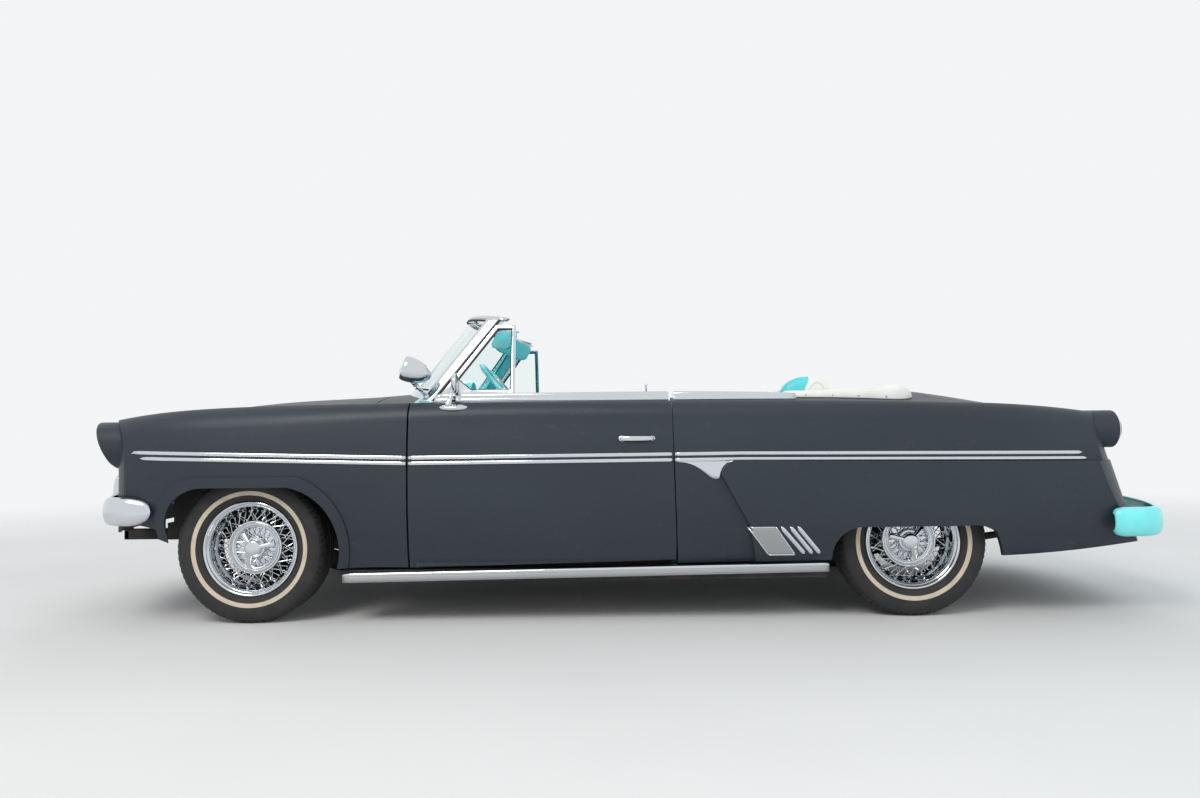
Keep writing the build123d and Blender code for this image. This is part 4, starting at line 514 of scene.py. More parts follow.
def form_normal(point, flat):
    """The normal of the first form that is near the point and faces as its flat face does."""
    for tree, source in SHADES:
        hit, hit_normal, index, distance = tree.find_nearest(point)
        if hit is None or distance > NEAR_FORM or hit_normal.dot(flat) < SAME_WAY:
            continue
        corners = [source.vertices[i] for i in source.polygons[index].vertices]
        if len(corners) == 4:
            return sum((v.normal / ((v.co - hit).length_squared + 1e-7) for v in corners), Vector()).normalized()
    return flat


def shade_like_form(made):
    mesh = made.data
    normals = [None] * len(mesh.loops)
    for face in mesh.polygons:
        for i in face.loop_indices:
            normals[i] = form_normal(mesh.vertices[mesh.loops[i].vertex_index].co, face.normal)
    mesh.polygons.foreach_set("use_smooth", [True] * len(mesh.polygons))
    mesh.normals_split_custom_set(normals)


# ---------------------------------------------------------------- body panels, cut as in the solids
PANEL_GAP, SEAT_GAP = 0.005, 0.0003
CABIN_HALF, REAR_CABIN_HALF, COWL_HALF = 0.775, 0.700, 0.715
DOOR_FRONT_X, DOOR_REAR_X = 0.977, -0.176
COWL_REAR_X = DOOR_FRONT_X + 0.008
HOOD_REAR_X, HOOD_LIP_X, HOOD_LIP_Z = 1.180, 2.400, 0.772
LID_FRONT_X, LID_HALF, LID_LOW_Z = -1.402, 0.592, 0.566
FRONT_AXLE_X, REAR_AXLE_X = 1.6935, -1.2405
BULGE_TOP_FRONT_Z, BULGE_TOP_REAR_Z = 0.700, 0.676
HOOD_SEAM = [(HOOD_REAR_X, 0.680), (2.150, 0.628), (2.500, 0.576)]
FENDER_SEAM = [(COWL_REAR_X - 0.04, COWL_HALF)] + HOOD_SEAM
NOSE_X, TAIL_X = 2.5185, -2.5185


def inset_seam(seam, gap):
    return [(x, y - gap) for x, y in seam]


def hood_profile(inset):
    top, bend = (2.262 - inset, 0.918 - inset), (2.362 - inset, 0.880 - inset)
    low = (HOOD_LIP_X - inset, HOOD_LIP_Z + 0.02)
    return side_prism([(HOOD_REAR_X, HIGH), (top[0] - 0.33, HIGH), (top[0] - 0.33, top[1] + 0.06), top, low,
                       (low[0], HOOD_LIP_Z), (HOOD_REAR_X, HOOD_LIP_Z)], {3: bend})


hood = keep(outer(), hood_profile(0.0), plan_prism(inset_seam(HOOD_SEAM, PANEL_GAP), HOOD_LIP_Z))
cut(hood, keep(inner(), hood_profile(SHEET)), block((0, -WIDE, 0), (HOOD_REAR_X + 0.001, WIDE, HIGH)))

ARCH_FRONT = [(1.296, 0.100), (1.296, 0.243), (1.502, 0.603), (1.872, 0.603), (2.045, 0.397), (2.045, 0.100)]
ARCH_BENDS = {1: (1.352, 0.520), 3: (1.990, 0.558)}
ARCH_LIP_WIDE = 0.046


def front_arch(grow):
    def moved(x, share):
        return x + (grow if x > FRONT_AXLE_X else -grow) * share

    points = [(moved(x, 1), z + (grow if z > 0.6 else 0)) for x, z in ARCH_FRONT]
    return side_prism(points, {i: (moved(x, 0.8), z + grow * 0.7) for i, (x, z) in ARCH_BENDS.items()})


POD_Y, POD_Z, POD_R, LENS_R = 0.722, 0.789, 0.106, 0.088
POD_BACK_X, POD_TOP_X, POD_FLOOR_X = 2.180, 2.404, 2.318


def along_x(x):
    return lambda u, v, w: (x + w, u, v)


def disc_prism(x_from, x_to, y, z, radius):
    return prism("disc", [(y + radius * c, z + radius * s) for c, s in turns(64)], along_x(x_from), x_to - x_from)


def lamp_pod(radius, front_x, lean_x):
    face = [(front_x, POD_Z + radius), (front_x + 0.05, POD_Z + radius + 0.01),
            (front_x + 0.05, POD_Z - radius - 0.005), (lean_x, POD_Z - radius - 0.005)]
    return cut(disc_prism(POD_BACK_X, front_x, POD_Y, POD_Z, radius), side_prism(face))


fender = keep(outer(), block((COWL_REAR_X, 0.3, 0.0), (NOSE_X + 0.2, WIDE, HIGH)))
cut(fender, inner(), plan_prism(FENDER_SEAM, 0.0))
flare = keep(copy_of(flare_form, "flare"), front_arch(ARCH_LIP_WIDE),
             block((FRONT_AXLE_X - 0.6, 0.5, 0.0), (FRONT_AXLE_X + 0.5, WIDE, 0.7)))
weld(fender, cut(flare, inner()), cut(lamp_pod(POD_R, POD_TOP_X, POD_FLOOR_X), inner()))
cut(fender, front_arch(0.0), lamp_pod(LENS_R + 0.004, POD_TOP_X + 0.02, POD_TOP_X + 0.02))

NOSE_BACK_X = 2.210
GRILLE_LOW_Z, GRILLE_HIGH_Z, GRILLE_HALF, GRILLE_CORNER = 0.470, 0.680, 0.520, 0.080


def seam_y(x):
    (x0, y0), (x1, y1) = HOOD_SEAM[1:]
    return y0 + (y1 - y0) * (x - x0) / (x1 - x0)


def rounded(half_w, low, high, radius, steps=8):
    """A rectangle with rounded corners."""
    outline = []
    for cy, cz, start in ((half_w - radius, high - radius, 0), (radius - half_w, high - radius, 90),
                          (radius - half_w, low + radius, 180), (half_w - radius, low + radius, 270)):
        for i in range(steps + 1):
            turn = math.radians(start + 90 * i / steps)
            outline.append((cy + radius * math.cos(turn), cz + radius * math.sin(turn)))
    return outline


nose = keep(outer(), plan_prism([(x, seam_y(x) - SEAT_GAP) for x in (NOSE_BACK_X, 2.5)], 0.0))
cut(nose, inner(), block((NOSE_BACK_X - 0.1, -WIDE, HOOD_LIP_Z - PANEL_GAP), (NOSE_X + 0.2, WIDE, HIGH)),
    prism("hole", rounded(GRILLE_HALF, GRILLE_LOW_Z, GRILLE_HIGH_Z, GRILLE_CORNER), along_x(NOSE_BACK_X), 0.4))
cowl = cut(keep(outer(), plan_prism(inset_seam(FENDER_SEAM[:2], SEAT_GAP), 0.8),
                block((COWL_REAR_X, -WIDE, 0.7), (HOOD_REAR_X - PANEL_GAP, WIDE, HIGH))), inner())

SILL_FRONT_Z, SILL_REAR_Z = 0.246, 0.270
SHUT_RUN, SHUT_BEND_Z, SHUT_TAPER = 0.012, 0.700, 0.014


def shut_x(z):
    return DOOR_REAR_X - SHUT_RUN * (SHUT_BEND_Z - z) / (SHUT_BEND_Z - SILL_REAR_Z)


DOOR_EDGE = [(DOOR_FRONT_X, SILL_FRONT_Z), (DOOR_FRONT_X, HIGH), (DOOR_REAR_X + SHUT_RUN, HIGH),
             (DOOR_REAR_X, SHUT_BEND_Z), (shut_x(SILL_REAR_Z), SILL_REAR_Z)]
door = keep(outer(), block((TAIL_X, CABIN_HALF, 0), (NOSE_X, WIDE, HIGH)), side_prism(DOOR_EDGE))
for low_z, edge_x in ((0.0, shut_x(SILL_REAR_Z)), (SHUT_BEND_Z, DOOR_REAR_X)):
    taper = [(edge_x, CABIN_HALF + 0.13), (edge_x + SHUT_TAPER, CABIN_HALF - 0.002),
             (edge_x - 0.06, CABIN_HALF - 0.002), (edge_x - 0.06, CABIN_HALF + 0.13)]
    cut(door, prism("taper", taper, lambda u, v, w: (u, v, low_z + w), HIGH))

ARCH_REAR = [(-0.840, 0.100), (-0.863, 0.302), (-0.977, 0.407), (-1.451, 0.407), (-1.575, 0.382), (-1.614, 0.271),
             (-1.620, 0.100)]
ARCH_REAR_BENDS = {1: (-0.902, 0.372), 3: (-1.524, 0.403), 4: (-1.598, 0.330)}
QUARTER_EDGE = [(DOOR_REAR_X + SHUT_RUN - PANEL_GAP, HIGH), (DOOR_REAR_X - PANEL_GAP, SHUT_BEND_Z),
                (shut_x(0.1) - PANEL_GAP, 0.1), (TAIL_X, 0.1), (TAIL_X, HIGH)]
BULGE = [(-0.560, 0.100), (-0.500, 0.425), (-0.381, 0.641), (-0.440, BULGE_TOP_FRONT_Z), (TAIL_X, BULGE_TOP_REAR_Z),
         (TAIL_X, 0.100)]
WELL_FRONT_X, SEAT_BACK_X, SEAT_SIDE_Y = -0.705, -0.932, 0.648
TAIL_LAMP_Y, TAIL_LAMP_Z, TAIL_LAMP_R, TAIL_RING_T, TAIL_LAMP_BACK_X = 0.712, 0.819, 0.066, 0.009, -2.060
TAIL_POD_R, TAIL_POD_X, TAIL_POD_ROOT_X = 0.084, -2.172, -1.900
REAR_LEFT = (TAIL_X, LID_HALF + PANEL_GAP, 0), (0, WIDE, HIGH)


def rear_hollow():
    return keep(inner(), block((TAIL_X, 0, 0), (WELL_FRONT_X, WIDE, HIGH)))


quarter = cut(keep(outer(), block(*REAR_LEFT), side_prism(QUARTER_EDGE)), rear_hollow())
bulge = keep(copy_of(wide_form, "bulge"), block(*REAR_LEFT), side_prism(BULGE, {2: (-0.400, 0.680)}))
weld(quarter, cut(bulge, rear_hollow()),
     cut(disc_prism(TAIL_POD_X, TAIL_POD_ROOT_X, TAIL_LAMP_Y, TAIL_LAMP_Z, TAIL_POD_R), rear_hollow()))
cut(quarter, block((WELL_FRONT_X - 0.002, -0.01, -0.01), (0, REAR_CABIN_HALF, HIGH)),
    block((SEAT_BACK_X, -0.01, BULGE_TOP_FRONT_Z), (0, SEAT_SIDE_Y, HIGH)), side_prism(ARCH_REAR, ARCH_REAR_BENDS),
    disc_prism(TAIL_X, TAIL_LAMP_BACK_X, TAIL_LAMP_Y, TAIL_LAMP_Z, TAIL_LAMP_R + TAIL_RING_T + SEAT_GAP))

DECK_HALF = LID_HALF + PANEL_GAP - SEAT_GAP
deck = cut(keep(outer(), block((LID_FRONT_X + PANEL_GAP, -DECK_HALF, 0.8), (-1.290, DECK_HALF, HIGH))), inner())
LID_TURN, LID_BEND, LID_REAR = (-2.020, 0.893), (-2.196, 0.800), (-2.266, 0.660)


def lid_profile(inset):
    points = [(LID_FRONT_X, HIGH), (LID_FRONT_X, LID_LOW_Z), (TAIL_X, LID_LOW_Z), (TAIL_X, LID_REAR[1] - 0.06),
              (LID_REAR[0] + inset, LID_REAR[1]), (LID_TURN[0] + inset, LID_TURN[1] - inset + 0.006),
              (LID_TURN[0] + 0.3, LID_TURN[1] + 0.16), (LID_TURN[0] + 0.3, HIGH)]
    return side_prism(points, {4: (LID_BEND[0] + inset, LID_BEND[1] - inset)})


lid = keep(outer(), lid_profile(0.0), block((TAIL_X, -LID_HALF, LID_LOW_Z), (LID_FRONT_X, LID_HALF, HIGH)))
cut(lid, keep(inner(), lid_profile(SHEET)))
tail = cut(keep(outer(), block((TAIL_X, -DECK_HALF, 0), (-2.150, DECK_HALF, LID_LOW_Z - PANEL_GAP))), inner())

TRIM_FACE_Y, CABIN_REAR_X, CABIN_FRONT_X = 0.80, -0.95, 1.0
# panel, body, node it stands for, name
PANELS = [(hood, "hood", "hood", "hood_skin"), (fender, "body", "front_fender", "fender_skin"),
          (nose, "body", "nose_panel", "nose_skin"), (cowl, "body", "cowl_panel", "cowl_skin"),
          (door, "door", "door", "door_skin"), (quarter, "body", "quarter", "quarter_skin"),
          (deck, "body", "deck_panel", "deck_skin"), (lid, "trunk_lid", "trunk_lid", "lid_skin"),
          (tail, "body", "tail_panel", "tail_skin")]
for panel, body, stands_for, name in PANELS:
    panel.name = name
    shade_like_form(coat(panel, BODY))
    if panel not in (fender, door, quarter):
        finish_piece(panel, body, stands_for)
        continue
    panel.name = name + "_left"
    for side, half in (("left", panel), ("right", mirror_y(panel, name + "_right"))):
        if panel is not fender:
            half.data.materials.append(TURQUOISE_VINYL)
            out = 1 if side == "left" else -1
            for face in half.data.polygons:
                if (face.normal.y * out < -SAME_WAY and face.center.y * out < TRIM_FACE_Y
                        and CABIN_REAR_X < face.center.x < CABIN_FRONT_X):
                    face.material_index = 1
        finish_piece(half, f"door_{side}" if panel is door else body, f"{stands_for}_{side}")

# ---------------------------------------------------------------- wire wheels and tyres
WHEEL_R, NOTCHES, STEPS_PER_NOTCH = 0.328, 72, 4
# radius, half width, depth of a shoulder notch; the cream ring lies between two of the rows
TYRE_HALF = tenths((1903, 600, 0), (2105, 825, 0), (2160, 890, 0), (2280, 955, 0), (2374, 985, 0), (2380, 996, 0),
                   (2475, 1013, 0), (2568, 1022, 0), (2574, 1013, 0), (2640, 1019, 0), (2750, 1025, 0),
                   (2900, 1015, 0), (3030, 980, 0), (3085, 953, 0), (3095, 958, 4), (3145, 915, 35), (3205, 855, 50),
                   (3250, 785, 55), (3268, 735, 55), (3272, 700, 0), (3225, 685, 0), (3225, 650, 0), (3276, 635, 0),
                   (3280, 410, 0), (3225, 395, 0), (3225, 350, 0), (3280, 335, 0), (3280, 95, 0), (3225, 80, 0))
CREAM_FROM, CREAM_TO = 5, 7
RIM = tenths((2035, 880), (2060, 888), (2080, 880), (2085, 860), (2085, 835), (2050, 800), (1960, 745), (1899, 690),
             (1899, 400), (1760, 220), (1760, -220), (1899, -400), (1899, -700), (2078, -850), (2075, -880),
             (2000, -880), (1830, -780), (1810, -440), (1680, -260), (1660, -200), (1660, 160), (1685, 230),
             (1710, 270), (1750, 330), (1790, 410), (1815, 500), (1830, 600), (1850, 690), (1880, 745), (1910, 775),
             (1925, 785), (1945, 775), (1960, 785), (1985, 830), (2010, 865))
HUB = tenths((5, 700), (100, 699), (190, 694), (270, 677), (330, 645), (366, 595), (380, 530), (380, 465),
             (400, 440), (460, 430), (480, 400), (485, 200), (520, 120), (840, 90), (870, 190), (895, 262),
             (930, 280), (965, 260), (985, 215), (1000, 200), (1040, 200), (1075, 225), (1105, 290), (1140, 335),
             (1180, 335), (1210, 290), (1225, 160), (1215, -60), (1180, -150), (460, -180), (460, -700), (430, -720),
             (253, -720), (253, -340), (5, -340))
DRUM = tenths((600, -700), (1270, -700), (1300, -680), (1300, -560), (1260, -540), (1300, -520), (1300, -260),
              (1270, -215), (600, -215))
# hub radius, hub height, rim radius, rim height, lead in degrees
SPOKE_ROWS = [(0.1180, 0.0270, 0.1690, 0.0150, 15.0), (0.1180, 0.0220, 0.1690, 0.0080, -15.0),
              (0.1190, 0.0090, 0.1680, -0.0080, 11.0), (0.1190, 0.0020, 0.1680, -0.0150, -11.0)]
SPOKES_A_ROW, NIPPLE_LENGTH = 18, 0.012
SPOKE_R, NIPPLE_R, LACE_R, LACE_LEAD = 0.0021, 0.0034, 0.0019, 16.0
# arm sections of the spinner: radius, half width, low, high
SPINNER_ARM = tenths((240, 120, 440, 670), (400, 100, 400, 625), (560, 100, 360, 565), (720, 120, 310, 510),
                     (860, 140, 280, 460), (910, 105, 310, 415))


def make_tyre():
    rows = TYRE_HALF + [(r, -h, notch) for r, h, notch in reversed(TYRE_HALF)]
    rings = []
    for i, (c, s) in enumerate(turns(NOTCHES * STEPS_PER_NOTCH)):
        ring = [(r - (0 if i % STEPS_PER_NOTCH else notch), h) for r, h, notch in rows]
        rings.append([(r * c, h, r * s) for r, h in ring])
    made = skin("tyre", rings, RUBBER, CREAM, closed=True)
    cream = [int(CREAM_FROM <= j < CREAM_TO) for j in range(len(rows))]
    made.data.polygons.foreach_set("material_index", cream * len(rings))
    return smooth(made, 30)


def rods_object(name, rods, material, sides=6):
    """Thin closed rods, each from one point to another with its radius."""
    verts, faces = [], []
    for start, end, radius in rods:
        start, end = Vector(start), Vector(end)
        along = (end - start).normalized()
        across = along.orthogonal().normalized()
        other = along.cross(across)
        base = len(verts)
        verts += [point + (across * c + other * s) * radius for point in (start, end) for c, s in turns(sides)]
        faces += [(base + i, base + (i + 1) % sides, base + sides + (i + 1) % sides, base + sides + i)
                  for i in range(sides)]
        faces += [tuple(base + i for i in reversed(range(sides))), tuple(base + sides + i for i in range(sides))]
    return smooth(new_object(name, verts, faces, material))


def at_turn(radius, height, degrees):
    turn = math.radians(degrees)
    return radius * math.cos(turn), height, radius * math.sin(turn)


def make_wheel():
    pieces = [lathe(name, profile, lambda u, v, w: (u, w, v), steps, material) for name, profile, steps, material in (
        ("rim", RIM, 144, CHROME), ("hub", HUB, 112, CHROME), ("drum", DRUM, 72, BLACK))]
    rods = []
    step = 360.0 / SPOKES_A_ROW
    for row, (hub_r, hub_h, rim_r, rim_h, lead) in enumerate(SPOKE_ROWS):
        for i in range(SPOKES_A_ROW):
            turn = step * (i + row * 0.25)
            tip = at_turn(rim_r, rim_h, turn + lead)
            nipple = at_turn(rim_r - NIPPLE_LENGTH, rim_h + (hub_h - rim_h) * 0.22, turn + lead * 0.8)
            rods += [(at_turn(hub_r, hub_h, turn), tip, SPOKE_R), (nipple, tip, NIPPLE_R)]
    for turn in (step * i for i in range(SPOKES_A_ROW)):
        for lead in (LACE_LEAD, -LACE_LEAD):
            rods.append((at_turn(0.050, 0.017, turn), at_turn(0.0905, 0.0215, turn + lead), LACE_R))
    pieces.append(rods_object("spokes", rods, CHROME))
    for c, s in turns(3):
        along, across, up = Vector((c, 0, s)), Vector((-s, 0, c)), Vector((0, 1, 0))
        rings = []
        for r, half, low, high in SPINNER_ARM:
            rings.append([along * r + across * (eased(cos, 0.6) * half)
                          + up * ((low + high) / 2 + eased(sin, 0.75) * (high - low) / 2) for cos, sin in turns(14)])
        pieces.append(skin("spinner_arm", rings, CHROME))
    return smooth(joined("wheel", pieces), 38)


tyre_shape, wheel_shape = make_tyre(), make_wheel()
# name, x, y, turn of the spinner in degrees
for corner, x, y, turn in (("front_left", FRONT_AXLE_X, 0.7365, 50.0), ("front_right", FRONT_AXLE_X, -0.7365, 35.0),
                           ("rear_left", REAR_AXLE_X, 0.7110, 15.0), ("rear_right", REAR_AXLE_X, -0.7110, 80.0)):
    for kind, shape, stands_for in (("wire_wheel", wheel_shape, "wheel"), ("road_tyre", tyre_shape, "tyre")):
        made = (copy_of if y > 0 else mirror_y)(shape, f"{kind}_{corner}")
        made.data.transform(Matrix.Translation((x, y, WHEEL_R)) @ Matrix.Rotation(math.radians(-turn), 4, "Y"))
        finish_piece(made, f"wheel_{corner}", f"{stands_for}_{corner}")

# ---------------------------------------------------------------- bumpers
# bow radius, corner radius, half width, x of the end, low, high, length and share of the closing end
FRONT_BUMPER = (2.060, 0.130, 0.926, 2.096, 0.441, 0.566, 0.115, 0.10)
REAR_BUMPER = (1.950, 0.160, 0.912, 2.087, 0.352, 0.480, 0.050, 0.62)
BUMPER_FACE = tenths((340, 10000), (270, 9750), (210, 9400), (155, 8900), (105, 8000), (62, 6400), (30, 4600),
                     (8, 2400))
BUMPER_WALL, BUMPER_DEEP, BUMPER_TUCK, ARM_Y, ARM_WIDE = 0.006, 0.0400, 0.018, 0.430, 0.050
# guard sections: z, back x, front x, half width
GUARD = tenths((4700, 24720, 24990, 160), (4760, 24700, 25035, 205), (4900, 24680, 25065, 225),
               (5200, 24640, 25090, 230), (5560, 24580, 25095, 230), (5900, 24560, 25060, 225),
               (6150, 24590, 25000, 210), (6300, 24640, 24945, 175), (6380, 24700, 24890, 115),
               (6400, 24760, 24840, 40))


def bumper_path(bow_r, corner_r, half, tip_x):
    """Points in plan from the left end round the bow to the right end, each with its outward direction."""
    bow_x, corner_y = NOSE_X - bow_r, half - corner_r
    corner_x = bow_x + math.sqrt((bow_r - corner_r) ** 2 - corner_y ** 2)
    join = math.asin(corner_y / (bow_r - corner_r))
    left = [(tip_x + (corner_x - tip_x) * math.sin(i / 24 * math.pi / 2), half, math.pi / 2) for i in range(25)]
    for turn in (math.pi / 2 - (math.pi / 2 - join) * i / 14 for i in range(1, 15)):
        left.append((corner_x + corner_r * math.cos(turn), corner_y + corner_r * math.sin(turn), turn))
    for turn in (join * (1 - i / 20) for i in range(1, 21)):
        left.append((bow_x + bow_r * math.cos(turn), bow_r * math.sin(turn), turn))
    return left + [(x, -y, -turn) for x, y, turn in reversed(left[:-1])]


def bumper_bar(name, size, material):
    bow_r, corner_r, half, tip_x, low, high, close_length, close_share = size
    middle, rise = (low + high) / 2, (high - low) / 2
    face = BUMPER_FACE + [(0.0, 0.0)] + [(x, -z) for x, z in reversed(BUMPER_FACE)]
    back = [(x + BUMPER_WALL, z * 0.92) for x, z in face[1:-1]]
    section = face + [(BUMPER_DEEP, -0.93)] + back[::-1] + [(BUMPER_DEEP, 0.93)]
    rings = []
    for x, y, turn in bumper_path(bow_r, corner_r, half, tip_x):
        share = min(1.0, max(0.0, (x - tip_x) / close_length))
        grow = close_share + (1 - close_share) * math.sqrt(1 - (1 - share) ** 2)
        slip = BUMPER_TUCK * (1 - share) ** 2
        rings.append([(x - math.cos(turn) * deep * grow, y - math.sin(turn) * (deep * grow + slip),
                       middle + rise * grow * z) for deep, z in section])
    return skin(name, rings, material)


def rounded_bar(name, x_from, x_to, y, low, high, half, radius, material):
    """A bar along X with rounded long edges."""
    outline = [(y + v, (low + high) / 2 + w)
               for v, w in rounded(half, (low - high) / 2, (high - low) / 2, radius, 4)]
    return smooth(coat(prism(name, outline, along_x(x_from), x_to - x_from), material))


def bumper_arms(arm_z, middle_z):
    pieces = []
    for y in (ARM_Y, -ARM_Y):
        for name, back, front, low, high, radius in (
                ("arm", 2.2305, 2.440, arm_z, arm_z + ARM_WIDE, 0.008),
                ("plate", 2.424, 2.444, arm_z, max(arm_z + ARM_WIDE, middle_z + 0.015), 0.008),
                ("lug", 2.436, 2.463, middle_z - 0.015, middle_z + 0.015, 0.006)):
            pieces.append(rounded_bar(name, back, front, y, low, high, ARM_WIDE / 2, radius, BLACK))
    return pieces


def guard(y):
    rings = [oval(((back + front) / 2, y, z), ((front - back) / 2, 0, 0), (0, half, 0), 24, 0.8)
             for z, back, front, half in GUARD]
    return skin("guard", rings, CHROME)


finish_piece(joined("front_bumper_bar", [bumper_bar("front_bar", FRONT_BUMPER, CHROME)] + bumper_arms(0.330, 0.5035)
                    + [guard(ARM_Y), guard(-ARM_Y)]), "body", "front_bumper")
rear_bar = joined("rear_bumper_bar", [bumper_bar("rear_bar", REAR_BUMPER, TURQUOISE)] + bumper_arms(0.360, 0.416))
finish_piece(mirrored(rear_bar, (1, 0, 0)), "body", "rear_bumper")

# ---------------------------------------------------------------- trim that follows the panels
def on_side(tree, x, z):
    """The point of a left panel at x and z, and its outward direction."""
    return tree.ray_cast(Vector((x, 1.4, z)), Vector((0, -1, 0)))[:2]


def between(path, size):
    """A path of (x, z) points with no run longer than size."""
    made = []
    for (ax, az), (bx, bz) in zip(path, path[1:]):
        count = max(1, math.ceil(math.hypot(bx - ax, bz - az) / size))
        made += [(ax + (bx - ax) * i / count, az + (bz - az) * i / count) for i in range(count)]
    return made + [path[-1]]


TRIM_STEP, SPEAR_STEP, PLATE_BACK = 0.012, 0.02, 0.001
# a faded tip keeps these shares of a strip's width and height
TIP_WIDTH, TIP_HEIGHT = 0.04, 0.35


def strip(name, points, half, out, material, fades=(0.0, 0.0), square=0.6, bends=6, deep=0.003, closed=False):
    """A crowned strip through points that each have an outward direction, pointed over the fade lengths."""
    run = [0.0]
    for (a, _), (b, _) in zip(points, points[1:]):
        run.append(run[-1] + (b - a).length)
    rings = []
    for i, (point, normal) in enumerate(points):
        before = points[i - 1 if closed else max(i - 1, 0)][0]
        after = points[(i + 1) % len(points) if closed else min(i + 1, len(points) - 1)][0]
        across = normal.cross((after - before).normalized()).normalized()
        share = 1.0
        for fade, way in zip(fades, (run[i], run[-1] - run[i])):
            if fade:
                share = min(share, max(TIP_WIDTH, way / fade))
        share = math.sin(share * math.pi / 2)
        side, foot = across * (half * share), point - normal * deep
        crown = normal * (out * (TIP_HEIGHT + (1 - TIP_HEIGHT) * share))
        ring = [point + side * math.cos(turn) + crown * math.sin(turn) ** square
                for turn in (math.pi * k / bends for k in range(bends + 1))]
        rings.append(ring + [foot - side, foot + side])
    return skin(name, rings, material, closed=closed)


def strip_on(name, tree, path, half, out, fades=(0.0, 0.0), square=0.55):
    return strip(name, [on_side(tree, x, z) for x, z in path], half, out, CHROME, fades, square, 8, 0.0015)


def patch_on(name, tree, rows, out, material):
    """A thin plate on a panel, given by rows of (x, z) points with as many points each."""
    rings = []
    for row in rows:
        spots = [on_side(tree, x, z) for x, z in row]
        rings.append([point + normal * out for point, normal in spots]
                     + [point - normal * PLATE_BACK for point, normal in (spots[-1], spots[0])])
    return skin(name, rings, material)


fender_tree, door_tree, quarter_tree = tree_of(fender), tree_of(door), tree_of(quarter)
SPEAR = [(2.200, 0.748), (0.980, 0.714), (-0.470, 0.719), (-1.990, 0.706)]
SPEAR_HALF, SPEAR_OFFSET, SPEAR_OUT = 0.0085, 0.0125, 0.0065


def spear_z(x):
    for (ax, az), (bx, bz) in zip(SPEAR, SPEAR[1:]):
        if bx <= x <= ax or (ax, az) == SPEAR[-2]:
            return az + (bz - az) * (x - ax) / (bx - ax)
    return SPEAR[0][1]


def spears(tree, fronts, rears, fades=(0.0, 0.0)):
    """The two strips of the spear on one panel, from their front ends to their rear ends."""
    made = []
    for front, rear, offset in zip(fronts, rears, (SPEAR_OFFSET, -SPEAR_OFFSET)):
        count = max(2, math.ceil(abs(rear - front) / SPEAR_STEP))
        path = [(x, spear_z(x) + offset) for x in (front + (rear - front) * i / count for i in range(count + 1))]
        made.append(strip_on("spear", tree, path, SPEAR_HALF, SPEAR_OUT, fades))
    return made


fender_spears = spears(fender_tree, (2.203, 2.160), [DOOR_FRONT_X + 0.0085] * 2, (0.040, 0.0))
door_spears = spears(door_tree, [DOOR_FRONT_X - 0.002] * 2, [DOOR_REAR_X + 0.006] * 2)
quarter_spears = spears(quarter_tree, [DOOR_REAR_X - 0.007] * 2, (-1.975, -1.995), (0.0, 0.022))

# Bright patch below the spear where the bulge begins: its lower edge
DIP = tenths((-1900, 6970), (-2300, 6925), (-2610, 6820), (-2890, 6660), (-3140, 6470), (-3350, 6300), (-3480, 6235),
             (-3620, 6215), (-3740, 6235), (-3790, 6430), (-3890, 6680), (-4070, 6890), (-4340, 6985))
dip_rows = []
for x, z in between(DIP, TRIM_STEP):
    top = spear_z(x) - SPEAR_OFFSET - SPEAR_HALF * 0.7
    dip_rows.append([(x, z + (top - z) * k / 5) for k in range(6)])
dip = patch_on("dip", quarter_tree, dip_rows, 0.0035, CHROME)

# Stone shield: grey plate in a bright edge, and three round bars behind it
SHIELD = [(-0.494, 0.411), (-0.584, 0.290), (-0.698, 0.290), (-0.613, 0.411)]
SLASHES = [(-0.630, -0.731), (-0.669, -0.765), (-0.702, -0.798)]
SLASH_W = 0.020


def part_way(a, b, share):
    return a[0] + (b[0] - a[0]) * share, a[1] + (b[1] - a[1]) * share


plate_rows = []
for k in range(13):
    front, rear = part_way(SHIELD[0], SHIELD[1], k / 12), part_way(SHIELD[3], SHIELD[2], k / 12)
    plate_rows.append([part_way(front, rear, i / 10) for i in range(11)])
shield = [patch_on("shield", quarter_tree, plate_rows, 0.0025, TRIM_GREY)]
for k in range(4):
    path = between([SHIELD[k], SHIELD[(k + 1) % 4]], TRIM_STEP)
    shield.append(strip_on("shield_edge", quarter_tree, path, 0.0034, 0.0045))
for top_x, low_x in SLASHES:
    path = [(top_x - SLASH_W * 0.15, 0.4135), (top_x - SLASH_W * 0.5, 0.4090), (top_x - SLASH_W * 0.8, 0.4000),
            (low_x - SLASH_W * 0.5, 0.2915)]
    shield.append(strip_on("slash", quarter_tree, between(path, TRIM_STEP), SLASH_W / 2, 0.0085, (0.016, 0.010), 0.7))

BELT_TOP_Z, BELT_LOW_Z = 1.008, 0.962
# belt moulding section: y, z
BELT_SECTION = tenths((7765, 9620), (7765, 10000), (7785, 10050), (7830, 10078), (7890, 10080), (7945, 10060),
                      (7985, 10015), (8000, 9950), (7985, 9865), (8000, 9830), (8015, 9770), (8010, 9680),
                      (7980, 9620))


def belt_run(*stations):
    """Sweeps the belt section along X: x, drop of the top, shift inwards."""
    return skin("belt", [[(x, y - shift, BELT_LOW_Z + (z - BELT_LOW_Z) * (1 - drop)) for y, z in BELT_SECTION]
                         for x, drop, shift in stations], CHROME)


